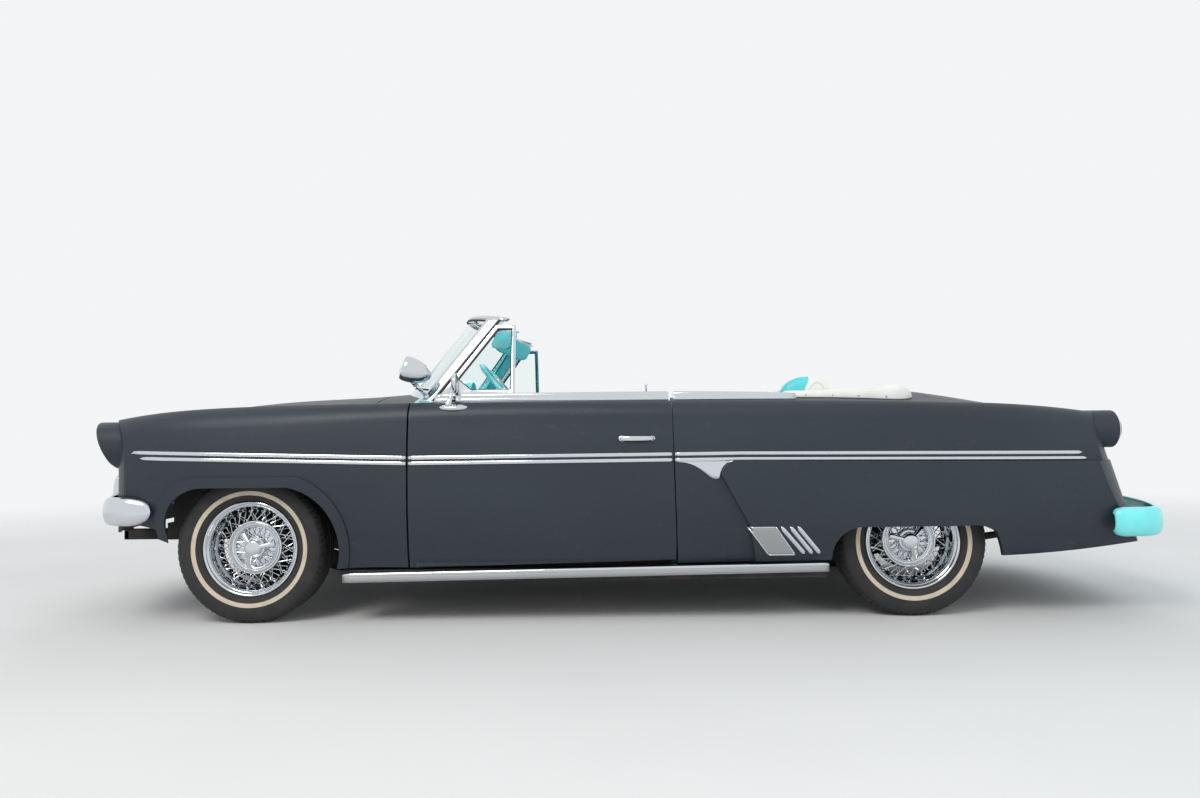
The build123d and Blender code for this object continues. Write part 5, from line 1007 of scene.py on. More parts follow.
door_belt = belt_run((DOOR_REAR_X + 0.012, 0.10, 0), (DOOR_REAR_X + 0.018, 0.0, 0), (0.30, 0.0, 0), (0.70, 0.0, 0),
                     (0.845, 0.02, 0), (0.872, 0.10, 0.001), (0.880, 0.28, 0.003))
quarter_belt = belt_run((DOOR_REAR_X - 0.0085, 0.10, 0.0), (DOOR_REAR_X - 0.014, 0.0, 0.0), (-0.40, 0.06, 0.004),
                        (-0.60, 0.16, 0.010), (-0.735, 0.30, 0.016))

# Pull handle: a bowed bar on two feet, with a round button at each: x, y, half height, half depth
HANDLE = tenths((560, 8965, 50, 45), (520, 9010, 85, 60), (400, 9065, 100, 50), (100, 9095, 105, 42),
                (-300, 9100, 105, 42), (-650, 9080, 100, 45), (-840, 9035, 90, 55), (-920, 8965, 60, 45))
HANDLE_Z = 0.800
handle = [skin("handle", [oval((x, y, HANDLE_Z), (0, deep, 0), (0, 0, high), 16, 0.7) for x, y, high, deep in HANDLE],
               CHROME)]
for x, half in ((0.046, 0.013), (-0.084, 0.011)):
    foot = on_side(door_tree, x, HANDLE_Z)[0]
    rows = [(0.0004, -0.002), (half + 0.004, -0.002), (half + 0.004, 0.0015), (half, 0.004), (half * 0.5, 0.0055),
            (0.0004, 0.0058)]
    handle.append(lathe("rose", rows, lambda u, v, w: (foot.x + u, foot.y + w, foot.z + v * 0.8), 32, CHROME))

# Lock knob behind the vent pane
KNOB = tenths((4, 9950), (30, 9950), (30, 10300), (45, 10330), (50, 10380), (42, 10420), (4, 10435))
knob = lathe("knob", KNOB, lambda u, v, w: (-0.067 + u, 0.769 + v, w), 20, CHROME)

# Fixed vent window frame, drawn upright and leant in at the belt
VENT_LEAN, VENT_FOOT_Y, VENT_T = math.atan(0.26), 0.778, 0.018
VENT_OUTER = [(0.522, 0.988), (0.847, 0.988), (0.862, 0.985), (0.612, 1.326), (0.522, 1.326)]
VENT_INNER = [(0.538, 1.016), (0.715, 1.016), (0.779, 1.070), (0.602, 1.310), (0.538, 1.310)]
SEAL_OUTER = [(0.536, 1.014), (0.717, 1.014), (0.783, 1.069), (0.603, 1.3125), (0.536, 1.3125)]
SEAL_INNER = [(0.5425, 1.0205), (0.713, 1.0205), (0.7725, 1.0705), (0.5995, 1.3055), (0.5425, 1.3055)]
LEAN_IN = (Matrix.Translation((0, VENT_FOOT_Y, BELT_TOP_Z)) @ Matrix.Rotation(VENT_LEAN, 4, "X")
           @ Matrix.Translation((0, -VENT_FOOT_Y, -BELT_TOP_Z)))


def vent_ring(name, outline, hole, y, thick, material):
    made = prism(name, outline, lambda u, v, w: (u, y + w, v), thick)
    opening = prism("hole", hole, lambda u, v, w: (u, VENT_FOOT_Y - 0.01 + w, v), VENT_T + 0.02)
    return coat(cut(made, opening), material)


vent = bevelled(vent_ring("vent_frame", VENT_OUTER, VENT_INNER, VENT_FOOT_Y, VENT_T, CHROME), 0.0035, 3)
seal = vent_ring("vent_seal", SEAL_OUTER, SEAL_INNER, VENT_FOOT_Y + 0.004, 0.010, RUBBER)
for made in (vent, seal):
    made.data.transform(LEAN_IN)

# Door mirror: an oval foot, a curved stem and a shallow round head that looks to the rear
FOOT_X, FOOT_Z = 0.785, 0.946
foot_y = on_side(door_tree, FOOT_X, FOOT_Z)[0].y
mirror_foot = skin("mirror_foot", [
    [(FOOT_X + 0.062 * share * c, foot_y + 0.020 * share * s + 0.35 * rise, FOOT_Z + rise - 0.30 * 0.020 * share * s)
     for c, s in turns(40)] for share, rise in ((1.0, -0.014), (1.0, 0.0010), (0.93, 0.0035), (0.70, 0.0060),
                                                (0.40, 0.0085), (0.12, 0.0095))], CHROME)
STEM = [(0.806, foot_y + 0.002, 0.948, 0.0135), (0.805, foot_y + 0.008, 0.966, 0.0105),
        (0.802, 0.8325, 0.990, 0.0090), (0.797, 0.8320, 1.012, 0.0080), (0.791, 0.8310, 1.034, 0.0078),
        (0.787, 0.8300, 1.052, 0.0085)]
mirror_stem = skin("mirror_stem", [oval((x, y, z), (r * 1.3, 0, 0), (0, r, 0), 20) for x, y, z, r in STEM], CHROME)
HEAD = tenths((4, 140), (130, 132), (250, 105), (350, 60), (410, 5), (438, -60), (440, -100), (428, -122),
              (405, -122), (400, -100), (4, -100))
mirror_head = lathe("mirror_head", HEAD, lambda u, v, w: (0.786 + w, 0.830 + u, 1.052 + v), 64, CHROME)

finish_piece(with_mirror(fender_spears + quarter_spears + [dip, quarter_belt] + shield, "side_spears_and_shields"),
             "body", "side_trim")
door_trim = joined("door_trim_parts_left", door_spears + [door_belt, knob, vent, seal, mirror_foot, mirror_stem,
                                                          mirror_head] + handle)
door_trim_right = mirror_y(door_trim, "door_trim_parts_right")
finish_piece(door_trim, "door_left", "door_trim_left")
finish_piece(door_trim_right, "door_right", "door_trim_right")

# Rocker moulding: bright upper roll over a grey face, its section as y and share of the height
ROCKER = tenths((8585, 0), (8585, 10000), (8660, 10300), (8740, 10000), (8800, 9000), (8820, 7400), (8790, 6400),
                (8800, 5800), (8812, 3000), (8805, 1000), (8780, 0))
ROCKER_FRONT, ROCKER_REAR = (1.270, 0.183, 0.226), (-0.848, 0.212, 0.254)
rings = []
for i in range(61):
    x, low, high = (a + (b - a) * (i / 60) for a, b in zip(ROCKER_FRONT, ROCKER_REAR))
    rings.append([(x, y, low + (high - low) * z) for y, z in ROCKER])
rocker = skin("rocker", rings, CHROME, TRIM_GREY)
grey = [int(6 <= j <= 9) for j in range(len(ROCKER))] * (len(rings) - 1) + [0, 0]
rocker.data.polygons.foreach_set("material_index", grey)
finish_piece(with_mirror([rocker], "rocker_mouldings"), "body", "rocker_trim")

# ---------------------------------------------------------------- windshield
FOOT_END, FOOT_RISE, FOOT_HALF = Vector((0.915, 0, 0.960)), Vector((0.221, 0, 0.050)), 0.744
HEAD_END, HEAD_RISE, HEAD_HALF = Vector((0.597, 0, 1.368)), Vector((0.225, 0, 0.053)), 0.640
FRAME_T, GLASS_T, FRAME_W = 0.030, 0.006, 0.034


def screen_point(u, v, back):
    """u runs across from -1 to 1, v from the foot to the head, back is how far behind the front face."""
    ends = []
    for end, rise, half in ((FOOT_END, FOOT_RISE, FOOT_HALF), (HEAD_END, HEAD_RISE, HEAD_HALF)):
        depth = rise.length
        radius = (half * half + depth * depth) / (2 * depth)
        turn = math.asin(half / radius) * u
        ahead = depth - radius * (1 - math.cos(turn)) - back
        ends.append(end + rise.normalized() * ahead + Vector((0, radius * math.sin(turn), 0)))
    return ends[0].lerp(ends[1], v)


def screen_shell(name, front, back, steps=64):
    return skin(name, [[screen_point(2 * i / steps - 1, v, depth) for v, depth in (
        (0.0, front), (1.0, front), (1.0, back), (0.0, back))] for i in range(steps + 1)])


def screen_outline(gap, corner_r=0.030, steps=10):
    """The glazed opening seen from the front, as y and z. gap shrinks it."""
    w = FRAME_W + gap
    foot = (FOOT_HALF - w - 0.052, 0.960 + w + 0.034)
    head = (HEAD_HALF - w - 0.036, 1.368 - w + 0.024)
    low = through((-foot[0], foot[1]), (0.0, 1.010 + w + 0.014), foot, 40)
    high = through(head, (0.0, 1.421 - w + 0.014), (-head[0], head[1]), 40)
    corners = low + [foot] + high + [(-head[0], head[1])]
    round_at = (0, len(low), len(low) + 1, len(corners) - 1)
    made = []
    for i, (y, z) in enumerate(corners):
        if i not in round_at:
            if all(math.hypot(y - corners[k][0], z - corners[k][1]) > corner_r for k in round_at):
                made.append((y, z))
            continue
        point = Vector((y, z))
        before, after = Vector(corners[i - 1]), Vector(corners[(i + 1) % len(corners)])
        start = point + (before - point).normalized() * corner_r
        end = point + (after - point).normalized() * corner_r
        for s in (k / steps for k in range(steps + 1)):
            made.append(tuple(start * (1 - s) ** 2 + point * 2 * s * (1 - s) + end * s * s))
    return made


def screen_opening(gap):
    return prism("opening", screen_outline(gap), along_x(0.0), NOSE_X)


def on_screen(y, z):
    return shell_tree.ray_cast(Vector((3.0, y, z)), Vector((-1, 0, 0)))[:2]


def seat():
    """The body form, to cut off what stands on it."""
    return copy_of(outer_form, "seat")


frame_shell = screen_shell("windshield_shell", 0.0, FRAME_T)
shell_tree = tree_of(frame_shell)
bevelled(coat(cut(frame_shell, screen_opening(0.0), seat()), CHROME), 0.0045, 3, 40)
pane = keep(screen_shell("windshield_pane", (FRAME_T - GLASS_T) / 2, (FRAME_T + GLASS_T) / 2), screen_opening(-0.004))
gasket = [on_screen(y, z) for y, z in screen_outline(0.0)]
gasket = strip("screen_gasket", gasket, 0.0050, 0.0022, RUBBER, closed=True)
PILLAR_SHARE = 0.125
pillars = []
for side in (1, -1):
    rings = []
    for v in (0.984 * i / 24 for i in range(25)):
        end, near = screen_point(side, v, 0.0), screen_point(side * (1 - PILLAR_SHARE), v, -0.0025)
        bend = Vector((near.x + 0.002, end.y - side * 0.010, (near.z + end.z) / 2))
        ring = [end + Vector((-0.004, side * 0.0015, 0)), end.lerp(bend, 0.35) + Vector((0, side * 0.002, 0)),
                end.lerp(bend, 0.80), bend + Vector((-0.003, -side * 0.001, 0)), bend.lerp(near, 0.15),
                bend.lerp(near, 0.55) + Vector((0.002, 0, 0)), near]
        rings.append(ring + [screen_point(side * (1 - share), v, back) for share, back in (
            (PILLAR_SHARE, 0.004), (PILLAR_SHARE / 2, 0.006), (0.0, 0.008))])
    pillars.append(smooth(cut(skin("pillar_cover", rings, CHROME), seat())))
    out = Vector((0.1, side, 0)).normalized()
    line = [screen_point(side, 0.02 + 0.96 * i / 20, 0.006) + Vector((0, side * 0.001, 0)) for i in range(21)]
    pillars.append(strip("pillar_seal", [(point, out) for point in line], 0.0060, 0.0040, RUBBER))
# header rail section: place from foot to head, way behind the front face
RAIL = tenths((9620, -25), (9740, -60), (9880, -55), (9970, 10), (10000, 150), (10010, 330), (9960, 400), (9840, 410),
              (9720, 380), (9640, 310))
rail = skin("header_rail", [[screen_point((2 * i / 64 - 1) * 1.012, v, back) for v, back in RAIL] for i in range(65)],
            CHROME)
out = Vector((-1, 0, -0.2)).normalized()
header_seal = strip("header_seal", [(screen_point((2 * i / 40 - 1) * 0.99, 0.978, 0.0395), out) for i in range(41)],
                    0.0060, 0.0040, RUBBER)
finish_piece(joined("windshield_surround", [frame_shell, gasket, rail, header_seal] + pillars), "body",
             "windshield_frame")
finish_piece(smooth(coat(pane, GLASS), 30), "body", "windshield_glass")

# ---------------------------------------------------------------- lamps and grille
SPOT_R, SPOT_LENGTH = 0.057, 0.138
# share of the length, share of the radius
SPOT_SHELL = tenths((5750, 20), (5700, 2000), (5530, 4200), (5220, 6300), (4780, 8000), (4820, 8450), (4620, 9050),
                    (4150, 9650), (3500, 9950), (2700, 10000), (1700, 9850), (600, 9450), (-600, 8800),
                    (-2000, 7650), (-3200, 6000), (-4000, 4400), (-4600, 2700), (-4900, 1300), (-5000, 20))
bullet = lathe("spot_bullet", [(r * SPOT_R, x * SPOT_LENGTH) for x, r in SPOT_SHELL], lambda u, v, w: (w, u, v), 72,
               CHROME, LAMP_GLASS, bands=[1] * 4 + [0] * (len(SPOT_SHELL) - 4))
bullet.data.transform(Matrix.Translation((0.960, 0.792, 1.106)) @ Matrix.Rotation(math.radians(-19), 4, "Y")
                      @ Matrix.Rotation(math.radians(12), 4, "Z"))
arm_top, arm_foot = Vector((0.978, 0.790, 1.066)), Vector((0.922, 0.715, 0.985))
arm_run = arm_foot - arm_top
arm = rods_object("spot_arm", [(arm_top, arm_foot, 0.0080),
                               (arm_top - arm_run * 0.06, arm_top + arm_run * 0.22, 0.0130),
                               (arm_top + arm_run * 0.80, arm_foot, 0.0125)], CHROME, 20)
finish_piece(joined("pillar_lamp", [bullet, smooth(cut(arm, seat()))]), "body", "spotlight")


def facing(x, y, z, out):
    """Places a turned piece with its axis along X, towards the nose for out 1."""
    return lambda u, v, w: (x + out * w, y + u, z + v)


LAMP_STEPS, PARK_Y = 96, 0.440
# radius, height
HEAD_RING = tenths((840, -550), (840, -40), (850, -10), (868, 5), (890, 0), (908, -30), (917, -80), (917, -550))
HEAD_LENS = tenths((837, -500), (837, -100), (810, -75), (740, -35), (620, 0), (450, 25), (250, 38), (4, 42),
                   (4, -500))
TAIL_RING = tenths((660, 0), (750, 0), (750, 935), (744, 960), (750, 985), (750, 1160), (742, 1200), (720, 1222),
                   (690, 1225), (668, 1205), (660, 1170))
TAIL_LENS = tenths((4, 0), (657, 0), (657, 1180), (640, 1235), (590, 1310), (500, 1390), (380, 1455), (240, 1500),
                   (230, 1515), (150, 1535), (4, 1540))
rims, lenses, tails = [], [], []
for y in (POD_Y, -POD_Y):
    place = facing(2.352, y, POD_Z, 1)
    rims.append(lathe("head_ring", HEAD_RING, place, LAMP_STEPS, CHROME))
    lenses.append(lathe("head_lens", HEAD_LENS, place, LAMP_STEPS, LAMP_GLASS))
for y in (TAIL_LAMP_Y, -TAIL_LAMP_Y):
    place = facing(TAIL_LAMP_BACK_X, y, TAIL_LAMP_Z, -1)
    rims.append(lathe("tail_ring", TAIL_RING, place, LAMP_STEPS, CHROME))
    tails.append(lathe("tail_lens", TAIL_LENS, place, LAMP_STEPS, RED, CHROME, bands=[0] * 7 + [1] * 3 + [0]))
finish_piece(joined("lamp_bezels", rims), "body", "lamp_rims")
finish_piece(joined("head_lamp_glasses", lenses), "body", "headlamp_lenses")
finish_piece(joined("tail_lamp_lenses", tails), "body", "tail_lamps")

GRILLE_BACK_X, GRILLE_Z = 2.318, 0.575
bar_face = tenths((0, 230), (140, 230), (225, 205), (290, 150), (325, 80), (338, 0))
bar = prism("grille_bar", bar_face + [(x, -z) for x, z in reversed(bar_face[:-1])],
            lambda u, v, w: (GRILLE_BACK_X + u, w - GRILLE_HALF + SEAT_GAP, GRILLE_Z + v),
            2 * (GRILLE_HALF - SEAT_GAP))
BOSS = tenths((4, 0), (615, 0), (615, 120), (600, 160), (560, 180), (540, 220), (520, 330), (480, 450), (420, 570),
              (340, 670), (240, 745), (120, 790), (4, 800))
PARK = tenths((395, 0), (515, 0), (515, 260), (500, 320), (465, 370), (430, 385), (405, 370), (395, 330))
PARK_LENS = tenths((4, 0), (392, 0), (392, 330), (360, 375), (280, 425), (160, 450), (4, 458))
grille_parts = [smooth(coat(bar, CHROME)), lathe("boss", BOSS, facing(GRILLE_BACK_X, 0.0, GRILLE_Z, 1), 72, CHROME)]
for y in (PARK_Y, -PARK_Y):
    place = facing(GRILLE_BACK_X, y, GRILLE_Z, 1)
    grille_parts += [lathe("park_ring", PARK, place, 64, CHROME),
                     lathe("park_lens", PARK_LENS, place, 64, LAMP_GLASS)]
finish_piece(joined("grille_and_park_lamps", grille_parts), "body", "grille")

# ---------------------------------------------------------------- dashboard and steering wheel
DASH_FRONT_X, FACE_X, DASH_HALF = 0.9847, 0.8065, 0.768
DASH = [(DASH_FRONT_X, 1.100), (0.905, 1.100), (0.880, 1.000), (0.800, 0.960), (0.812, 0.850), (0.860, 0.800),
        (DASH_FRONT_X, 0.800)]
dash = keep(prism("dash", DASH, lambda u, v, w: (u, w - DASH_HALF, v), 2 * DASH_HALF), seat())
bevelled(coat(dash, TURQUOISE), 0.012, 4, 25)
HUB_AT, LEAN = Vector((0.581, 0.370, 1.000)), math.radians(42)
ACROSS_CAR, AXIS = Vector((0, 1, 0)), Vector((-math.cos(LEAN), 0, math.sin(LEAN)))
STEER = Matrix.Translation(HUB_AT) @ Matrix((ACROSS_CAR, AXIS.cross(ACROSS_CAR), AXIS)).transposed().to_4x4()


def in_steer(made):
    made.data.transform(STEER)
    return outward(made)


COLUMN = tenths((4, -5900), (300, -5900), (300, -1000), (330, -960), (345, -700), (335, -500), (300, -455), (4, -455))
column = in_steer(lathe("column", COLUMN, plainly, 40, TURQUOISE))
cut(column, block((DASH_FRONT_X, 0.0, 0.0), (1.4, WIDE, HIGH)))
bracket = rounded_bar("bracket", 0.842, 0.898, HUB_AT.y, 0.746, 0.806, 0.026, 0.010, TURQUOISE)
dash_parts = [dash, smooth(column), bracket]


def dial(x, y, z, radius, back, steps, *rim):
    """A black face in a bright ring, whose inner rows are shares of the radius and heights."""
    rows = [(0.0004, back), (radius, back), (radius, 0.0060)] + [(radius * share, h) for share, h in rim]
    return lathe("dial", rows + [(0.0004, rim[-1][1])], facing(x, y, z, -1), steps, CHROME, BLACK,
                 bands=[0, 0, 0, 0, 0, 1, 0])


for y, z, radius in ((0.370, 0.912, 0.046), (0.275, 0.908, 0.026), (0.465, 0.908, 0.026)):
    dash_parts.append(dial(FACE_X, y, z, radius, 0.0, 48, (0.97, 0.0090), (0.90, 0.0090), (0.87, 0.0050)))
DASH_KNOB = tenths((4, 0), (50, 0), (50, 80), (90, 95), (95, 150), (80, 190), (4, 200))
for y in (0.155, 0.115, 0.075, -0.075, -0.115, 0.590):
    dash_parts.append(lathe("dash_knob", DASH_KNOB, facing(FACE_X, y, 0.888, -1), 24, CHROME))
for y in (-0.045 + 0.015 * i for i in range(7)):
    dash_parts.append(rods_object("radio_bar", [((FACE_X - 0.004, y, 0.905), (FACE_X - 0.004, y, 0.945), 0.0032)],
                                  CHROME, 12))
GLOVE_Y, GLOVE_Z = -0.400, 0.910
glove = rounded(0.135, 0.872, 0.948, 0.012, 6)
rings = [[(FACE_X + out, GLOVE_Y + y * wide, GLOVE_Z + (z - GLOVE_Z) * high) for y, z in glove]
         for out, wide, high in ((0.004, 1, 1), (-0.0025, 1, 1), (-0.0040, 0.985, 0.96))]
dash_parts.append(skin("glove_lid", rings, TURQUOISE))
GLOVE_BUTTON = tenths((4, 0), (90, 0), (85, 90), (50, 120), (4, 125))
dash_parts.append(lathe("glove_button", GLOVE_BUTTON, facing(FACE_X, GLOVE_Y, 0.935, -1), 24, CHROME))
# cluster hood sections: x, size, lowest z
CLUSTER = [(0.930, 0.80, 0.985), (0.890, 0.93, 0.975), (0.840, 1.0, 0.950), (0.790, 1.02, 0.940), (0.770, 1.0, 0.938),
           (0.762, 0.96, 0.940), (0.768, 0.90, 0.944), (0.786, 0.86, 0.948)]
cluster = skin("cluster_hood", [[(x, HUB_AT.y + 0.118 * size * c, max(floor_z, 0.985 + 0.094 * size * s))
                                 for c, s in turns(48, 0.5)] for x, size, floor_z in CLUSTER], TURQUOISE, BLACK)
for face in cluster.data.polygons:
    if face.center.x > 0.780 and face.normal.x < -0.9:
        face.material_index = 1
dash_parts.append(cluster)
for y, z, radius in ((0.370, 0.998, 0.034), (0.310, 0.985, 0.021), (0.430, 0.985, 0.021)):
    dash_parts.append(dial(0.7855, y, z, radius, -0.004, 40, (0.94, 0.0080), (0.88, 0.0060), (0.86, 0.0020)))
    needle = (0.7830, y, z), (0.7830, y + radius * 0.6, z + radius * 0.3), 0.0011
    dash_parts.append(rods_object("needle", [needle], RED))

# The pad on the cowl, from the dashboard to the foot of the glass
PAD_REAR_X = 0.901
form_tree = tree_of(outer_form)
rings = []
for i in range(91):
    back = screen_point((2 * i / 90 - 1) * 0.93, 0.05, FRAME_T + 0.004)
    if back.x < 0.920:
        continue
    ring = []
    for k in range(13):
        x = PAD_REAR_X + (back.x - PAD_REAR_X) * k / 12
        hit = form_tree.ray_cast(Vector((max(x, 0.906), back.y, HIGH)), Vector((0, 0, -1)))[0]
        edge = math.sin(math.pi * min(1.0, 4 * min(k, 12 - k) / 12) / 2)
        ring.append((x, back.y, hit.z + 0.0015 + 0.006 * edge))
    rings.append(ring + [(back.x, back.y, ring[-1][2] - 0.003), (PAD_REAR_X, back.y, ring[0][2] - 0.010)])
dash_parts.append(skin("dash_pad", rings, TURQUOISE_VINYL))
spear_ends = [(FACE_X + 0.004, y, 0.8605) for y in (-0.745, 0.745)]
dash_parts.append(rods_object("dash_spear", [(*spear_ends, 0.0045)], CHROME, 12))
finish_piece(joined("dash_and_column", dash_parts), "body", "dashboard")


def cord(middle_r, height, radius, count):
    """The section of a round ring, as a profile to turn."""
    return [(middle_r + radius * c, height + radius * s) for c, s in turns(count)]


STEER_HUB = tenths((4, -440), (375, -440), (380, -400), (380, -60), (400, -20), (400, 60), (360, 110), (260, 150),
                   (120, 170), (4, 172))
STEER_RIM_R, HORN_R = 0.215, 0.135
# spoke sections: radius, half width, half thickness, height
STEER_SPOKE = tenths((300, 150, 60, -20), (800, 135, 52, -60), (1400, 120, 48, -50), (1850, 125, 52, -20),
                     (2120, 150, 60, 0))
steer_parts = [lathe("steer_rim", cord(STEER_RIM_R, 0.0, 0.011, 16), plainly, 96, TURQUOISE),
               lathe("steer_hub", STEER_HUB, plainly, 48, TURQUOISE, CHROME, bands=[0] * 6 + [1] * 3 + [0])]
for turn in (0.0, math.pi, -math.pi / 2):
    along, across = Vector((math.cos(turn), math.sin(turn), 0)), Vector((-math.sin(turn), math.cos(turn), 0))
    steer_parts.append(skin("steer_spoke", [oval(along * r + Vector((0, 0, rise)), across * half, (0, 0, thick), 16)
                                            for r, half, thick, rise in STEER_SPOKE], TURQUOISE))
steer_parts.append(lathe("horn_ring", cord(HORN_R, 0.012, 0.0035, 10), plainly, 72, CHROME))
horn_rods = [(*((r * math.cos(turn), r * math.sin(turn), z) for r, z in ((0.030, 0.010), (HORN_R, 0.012))), 0.0035)
             for turn in (0.35, math.pi - 0.35, -math.pi / 2)]
steer_parts.append(rods_object("horn_rods", horn_rods, CHROME, 10))
steering = joined("steering_rim_and_hub", [in_steer(made) for made in steer_parts])
finish_piece(steering, "steering_wheel", "steering_wheel")


# ---------------------------------------------------------------- seats, visors and the cover of the folded top
def rounded_outline(corners, radii, size):
    """Even points, about one size apart, round a polygon whose corners are rounded. Also each point's outward
    direction and its way along the polygon from the first corner, in corners."""
    count = len(corners)
    points = []
    for i in range(count):
        here, before, after = Vector(corners[i]), Vector(corners[i - 1]), Vector(corners[(i + 1) % count])
        radius = min(radii[i], (before - here).length * 0.48, (after - here).length * 0.48)
        start, end = here + (before - here).normalized() * radius, here + (after - here).normalized() * radius
        points += [(start * (1 - s) ** 2 + here * 2 * s * (1 - s) + end * s * s, i + (s - 0.5) * 0.2)
                   for s in (k / 8 for k in range(9))]
    even = []
    for (a, way_a), (b, way_b) in zip(points, points[1:] + points[:1]):
        run = (way_b - way_a) % count
        steps = max(1, round((b - a).length / size))
        even += [(a.lerp(b, k / steps), (way_a + run * k / steps) % count) for k in range(steps)]
    even = [even[i] for i in range(len(even)) if (even[i][0] - even[i - 1][0]).length > size * 0.2]
    spots = [point for point, _ in even]
    area = sum(a.x * b.y - b.x * a.y for a, b in zip(spots, spots[1:] + spots[:1]))
    turn = 1 if area > 0 else -1
    outs = []
    for i in range(len(spots)):
        along = (spots[(i + 1) % len(spots)] - spots[i - 1]).normalized()
        outs.append(Vector((along.y, -along.x)) * turn)
    return spots, outs, [way for _, way in even]


def stations(half, end, step):
    """Places across a seat, close together at its rounded ends."""
    ends = [half - end * (1 - math.cos(math.pi / 2 * k / 6)) for k in range(7)]
    count = round(2 * (half - end) / step)
    middle = [end - half + 2 * (half - end) * k / count for k in range(1, count)]
    return sorted([-y for y in ends] + middle + ends)


PLEAT, BOLSTER, BENCH_END, CROWN = 0.056, 0.105, 0.034, 0.010
PLEAT_RISE, PLEAT_DEPTH, PLEAT_WIDTH = 0.0030, 0.0065, 0.0075
BOLSTER_DEPTH, SEAM_DEPTH, SEAM_WIDTH = 0.005, 0.0045, 0.006


def groove(distance, width):
    return math.exp(-(distance / width) ** 2)


def eased_step(share):
    return share * share * (3 - 2 * share)


def face_rise(y, s, half):
    """How far a seating face stands out: its crown, less the pleats and the seams beside the bolsters."""
    bulge = max(0.0, math.sin(math.pi * s)) ** 0.7
    rise = CROWN * bulge * (1 - (y / half) ** 2 * 0.6)
    if abs(y) < half - BOLSTER:
        place = ((y / PLEAT) % 1.0 - 0.5) * PLEAT
        edge = min(1.0, min(s - 0.05, 0.95 - s) / 0.06) if 0.05 < s < 0.95 else 0.0
        rise += edge * (PLEAT_RISE - PLEAT_DEPTH * groove(abs(abs(place) - PLEAT / 2), PLEAT_WIDTH))
    return rise - BOLSTER_DEPTH * groove(abs(y) - (half - BOLSTER), SEAM_WIDTH) * min(1.0, 8 * bulge)


def pad(name, corners, radii, half, face, rise=0.0, cap_x=9.0):
    """A bench cushion: the outline from the side swept across, with rounded ends, a crowned seating face between
    the corners face[0] and face[1], pleats in it and seams along its edges. rise lifts its left corner."""
    points, outs, ways = rounded_outline(corners, radii, 0.016)
    places = stations(half, BENCH_END, 0.0095)
    lo, hi = face
    rings = []
    for y in places:
        t = min(1.0, max(0.0, (abs(y) - (half - BENCH_END)) / BENCH_END))
        inset = BENCH_END * (1 - math.sqrt(1 - t * t))
        ring = []
        for point, out, way in zip(points, outs, ways):
            grow = -inset
            if lo <= way <= hi:
                grow += face_rise(y, (way - lo) / (hi - lo), half)
            for seam in (lo + 0.02, hi - 0.02):
                grow -= SEAM_DEPTH * groove((way - seam) * 0.12, SEAM_WIDTH)
            place = point + out * grow
            wing = min(1.0, max(0.0, (y - half + 0.24) / 0.16)) * min(1.0, max(0.0, (place.y - 0.90) / 0.11))
            lift = rise * eased_step(wing)
            ring.append((place.x + lift * max(0.0, out.x), y, place.y + lift))
        rings.append(ring)
    made = skin(name, rings, WHITE_VINYL, TURQUOISE_VINYL)
    n = len(points)
    for polygon in made.data.polygons:
        spots = [v % n for v in polygon.vertices]
        spot = min(spots) if max(spots) - min(spots) < n / 2 else max(spots)
        at = min(polygon.vertices) // n
        y = (places[at] + places[min(at + 1, len(places) - 1)]) / 2
        on_face = lo + 0.03 < ways[spot] < hi - 0.03 and abs(y) < half - BOLSTER
        on_end = abs(y) > half - BENCH_END * 0.9 and abs(polygon.center.x) < cap_x
        polygon.material_index = int(len(polygon.vertices) > 4 or on_face or on_end)
    return made


def piping(corners, radii, y, inset, radius):
    """A round cord of welt round the side of a cushion, where its end is joined."""
    points, outs, ways = rounded_outline(corners, radii, 0.020)
    path = [Vector((p.x - o.x * inset, y, p.y - o.y * inset)) for p, o in zip(points, outs)]
    rings = []
    for i, point in enumerate(path):
        along = (path[(i + 1) % len(path)] - path[i - 1]).normalized()
        rings.append(oval(point, along.cross(ACROSS_CAR).normalized() * radius, (0, radius, 0), 8))
    return skin("welt", rings, WHITE_VINYL, closed=True)


def plinth(name, corners, half):
    made = prism(name, corners, lambda u, v, w: (u, w - half, v), 2 * half)
    cut(made, lathe("tunnel", [(0.0004, -3.0), (0.1115, -3.0), (0.1115, 3.0), (0.0004, 3.0)],
                    lambda u, v, w: (w, u, 0.2603 + v), 48))
    return bevelled(coat(made, TURQUOISE_VINYL), 0.008, 3, 40)


SEAT_FLOOR_Z, REAR_SEAT_Z = 0.2726, 0.5126
FRONT_HALF, REAR_HALF, WELT_R = 0.665, 0.640, 0.0035
front_cushion = [(0.572, 0.345), (0.596, 0.508), (0.010, 0.462), (-0.046, 0.345)], [0.05, 0.06, 0.05, 0.04]
front_back = [(0.108, 0.405), (-0.006, 0.990), (-0.112, 0.990), (-0.060, 0.395)], [0.03, 0.045, 0.045, 0.03]
front_foot = [(0.545, SEAT_FLOOR_Z), (0.560, 0.352), (-0.030, 0.352), (-0.048, SEAT_FLOOR_Z)]
front_bench = [pad("front_cushion", *front_cushion, FRONT_HALF, (0.35, 2.0)),
               pad("front_back", *front_back, FRONT_HALF - 0.004, (0.0, 1.15)),
               plinth("front_plinth", front_foot, FRONT_HALF - 0.030)]
for y in (FRONT_HALF - 0.030, 0.030 - FRONT_HALF):
    front_bench += [piping(*front_cushion, y, 0.0095, WELT_R), piping(*front_back, y, 0.0095, WELT_R)]
front_seat = joined("front_bench_seat", front_bench)
finish_piece(front_seat, "body", "front_seat")

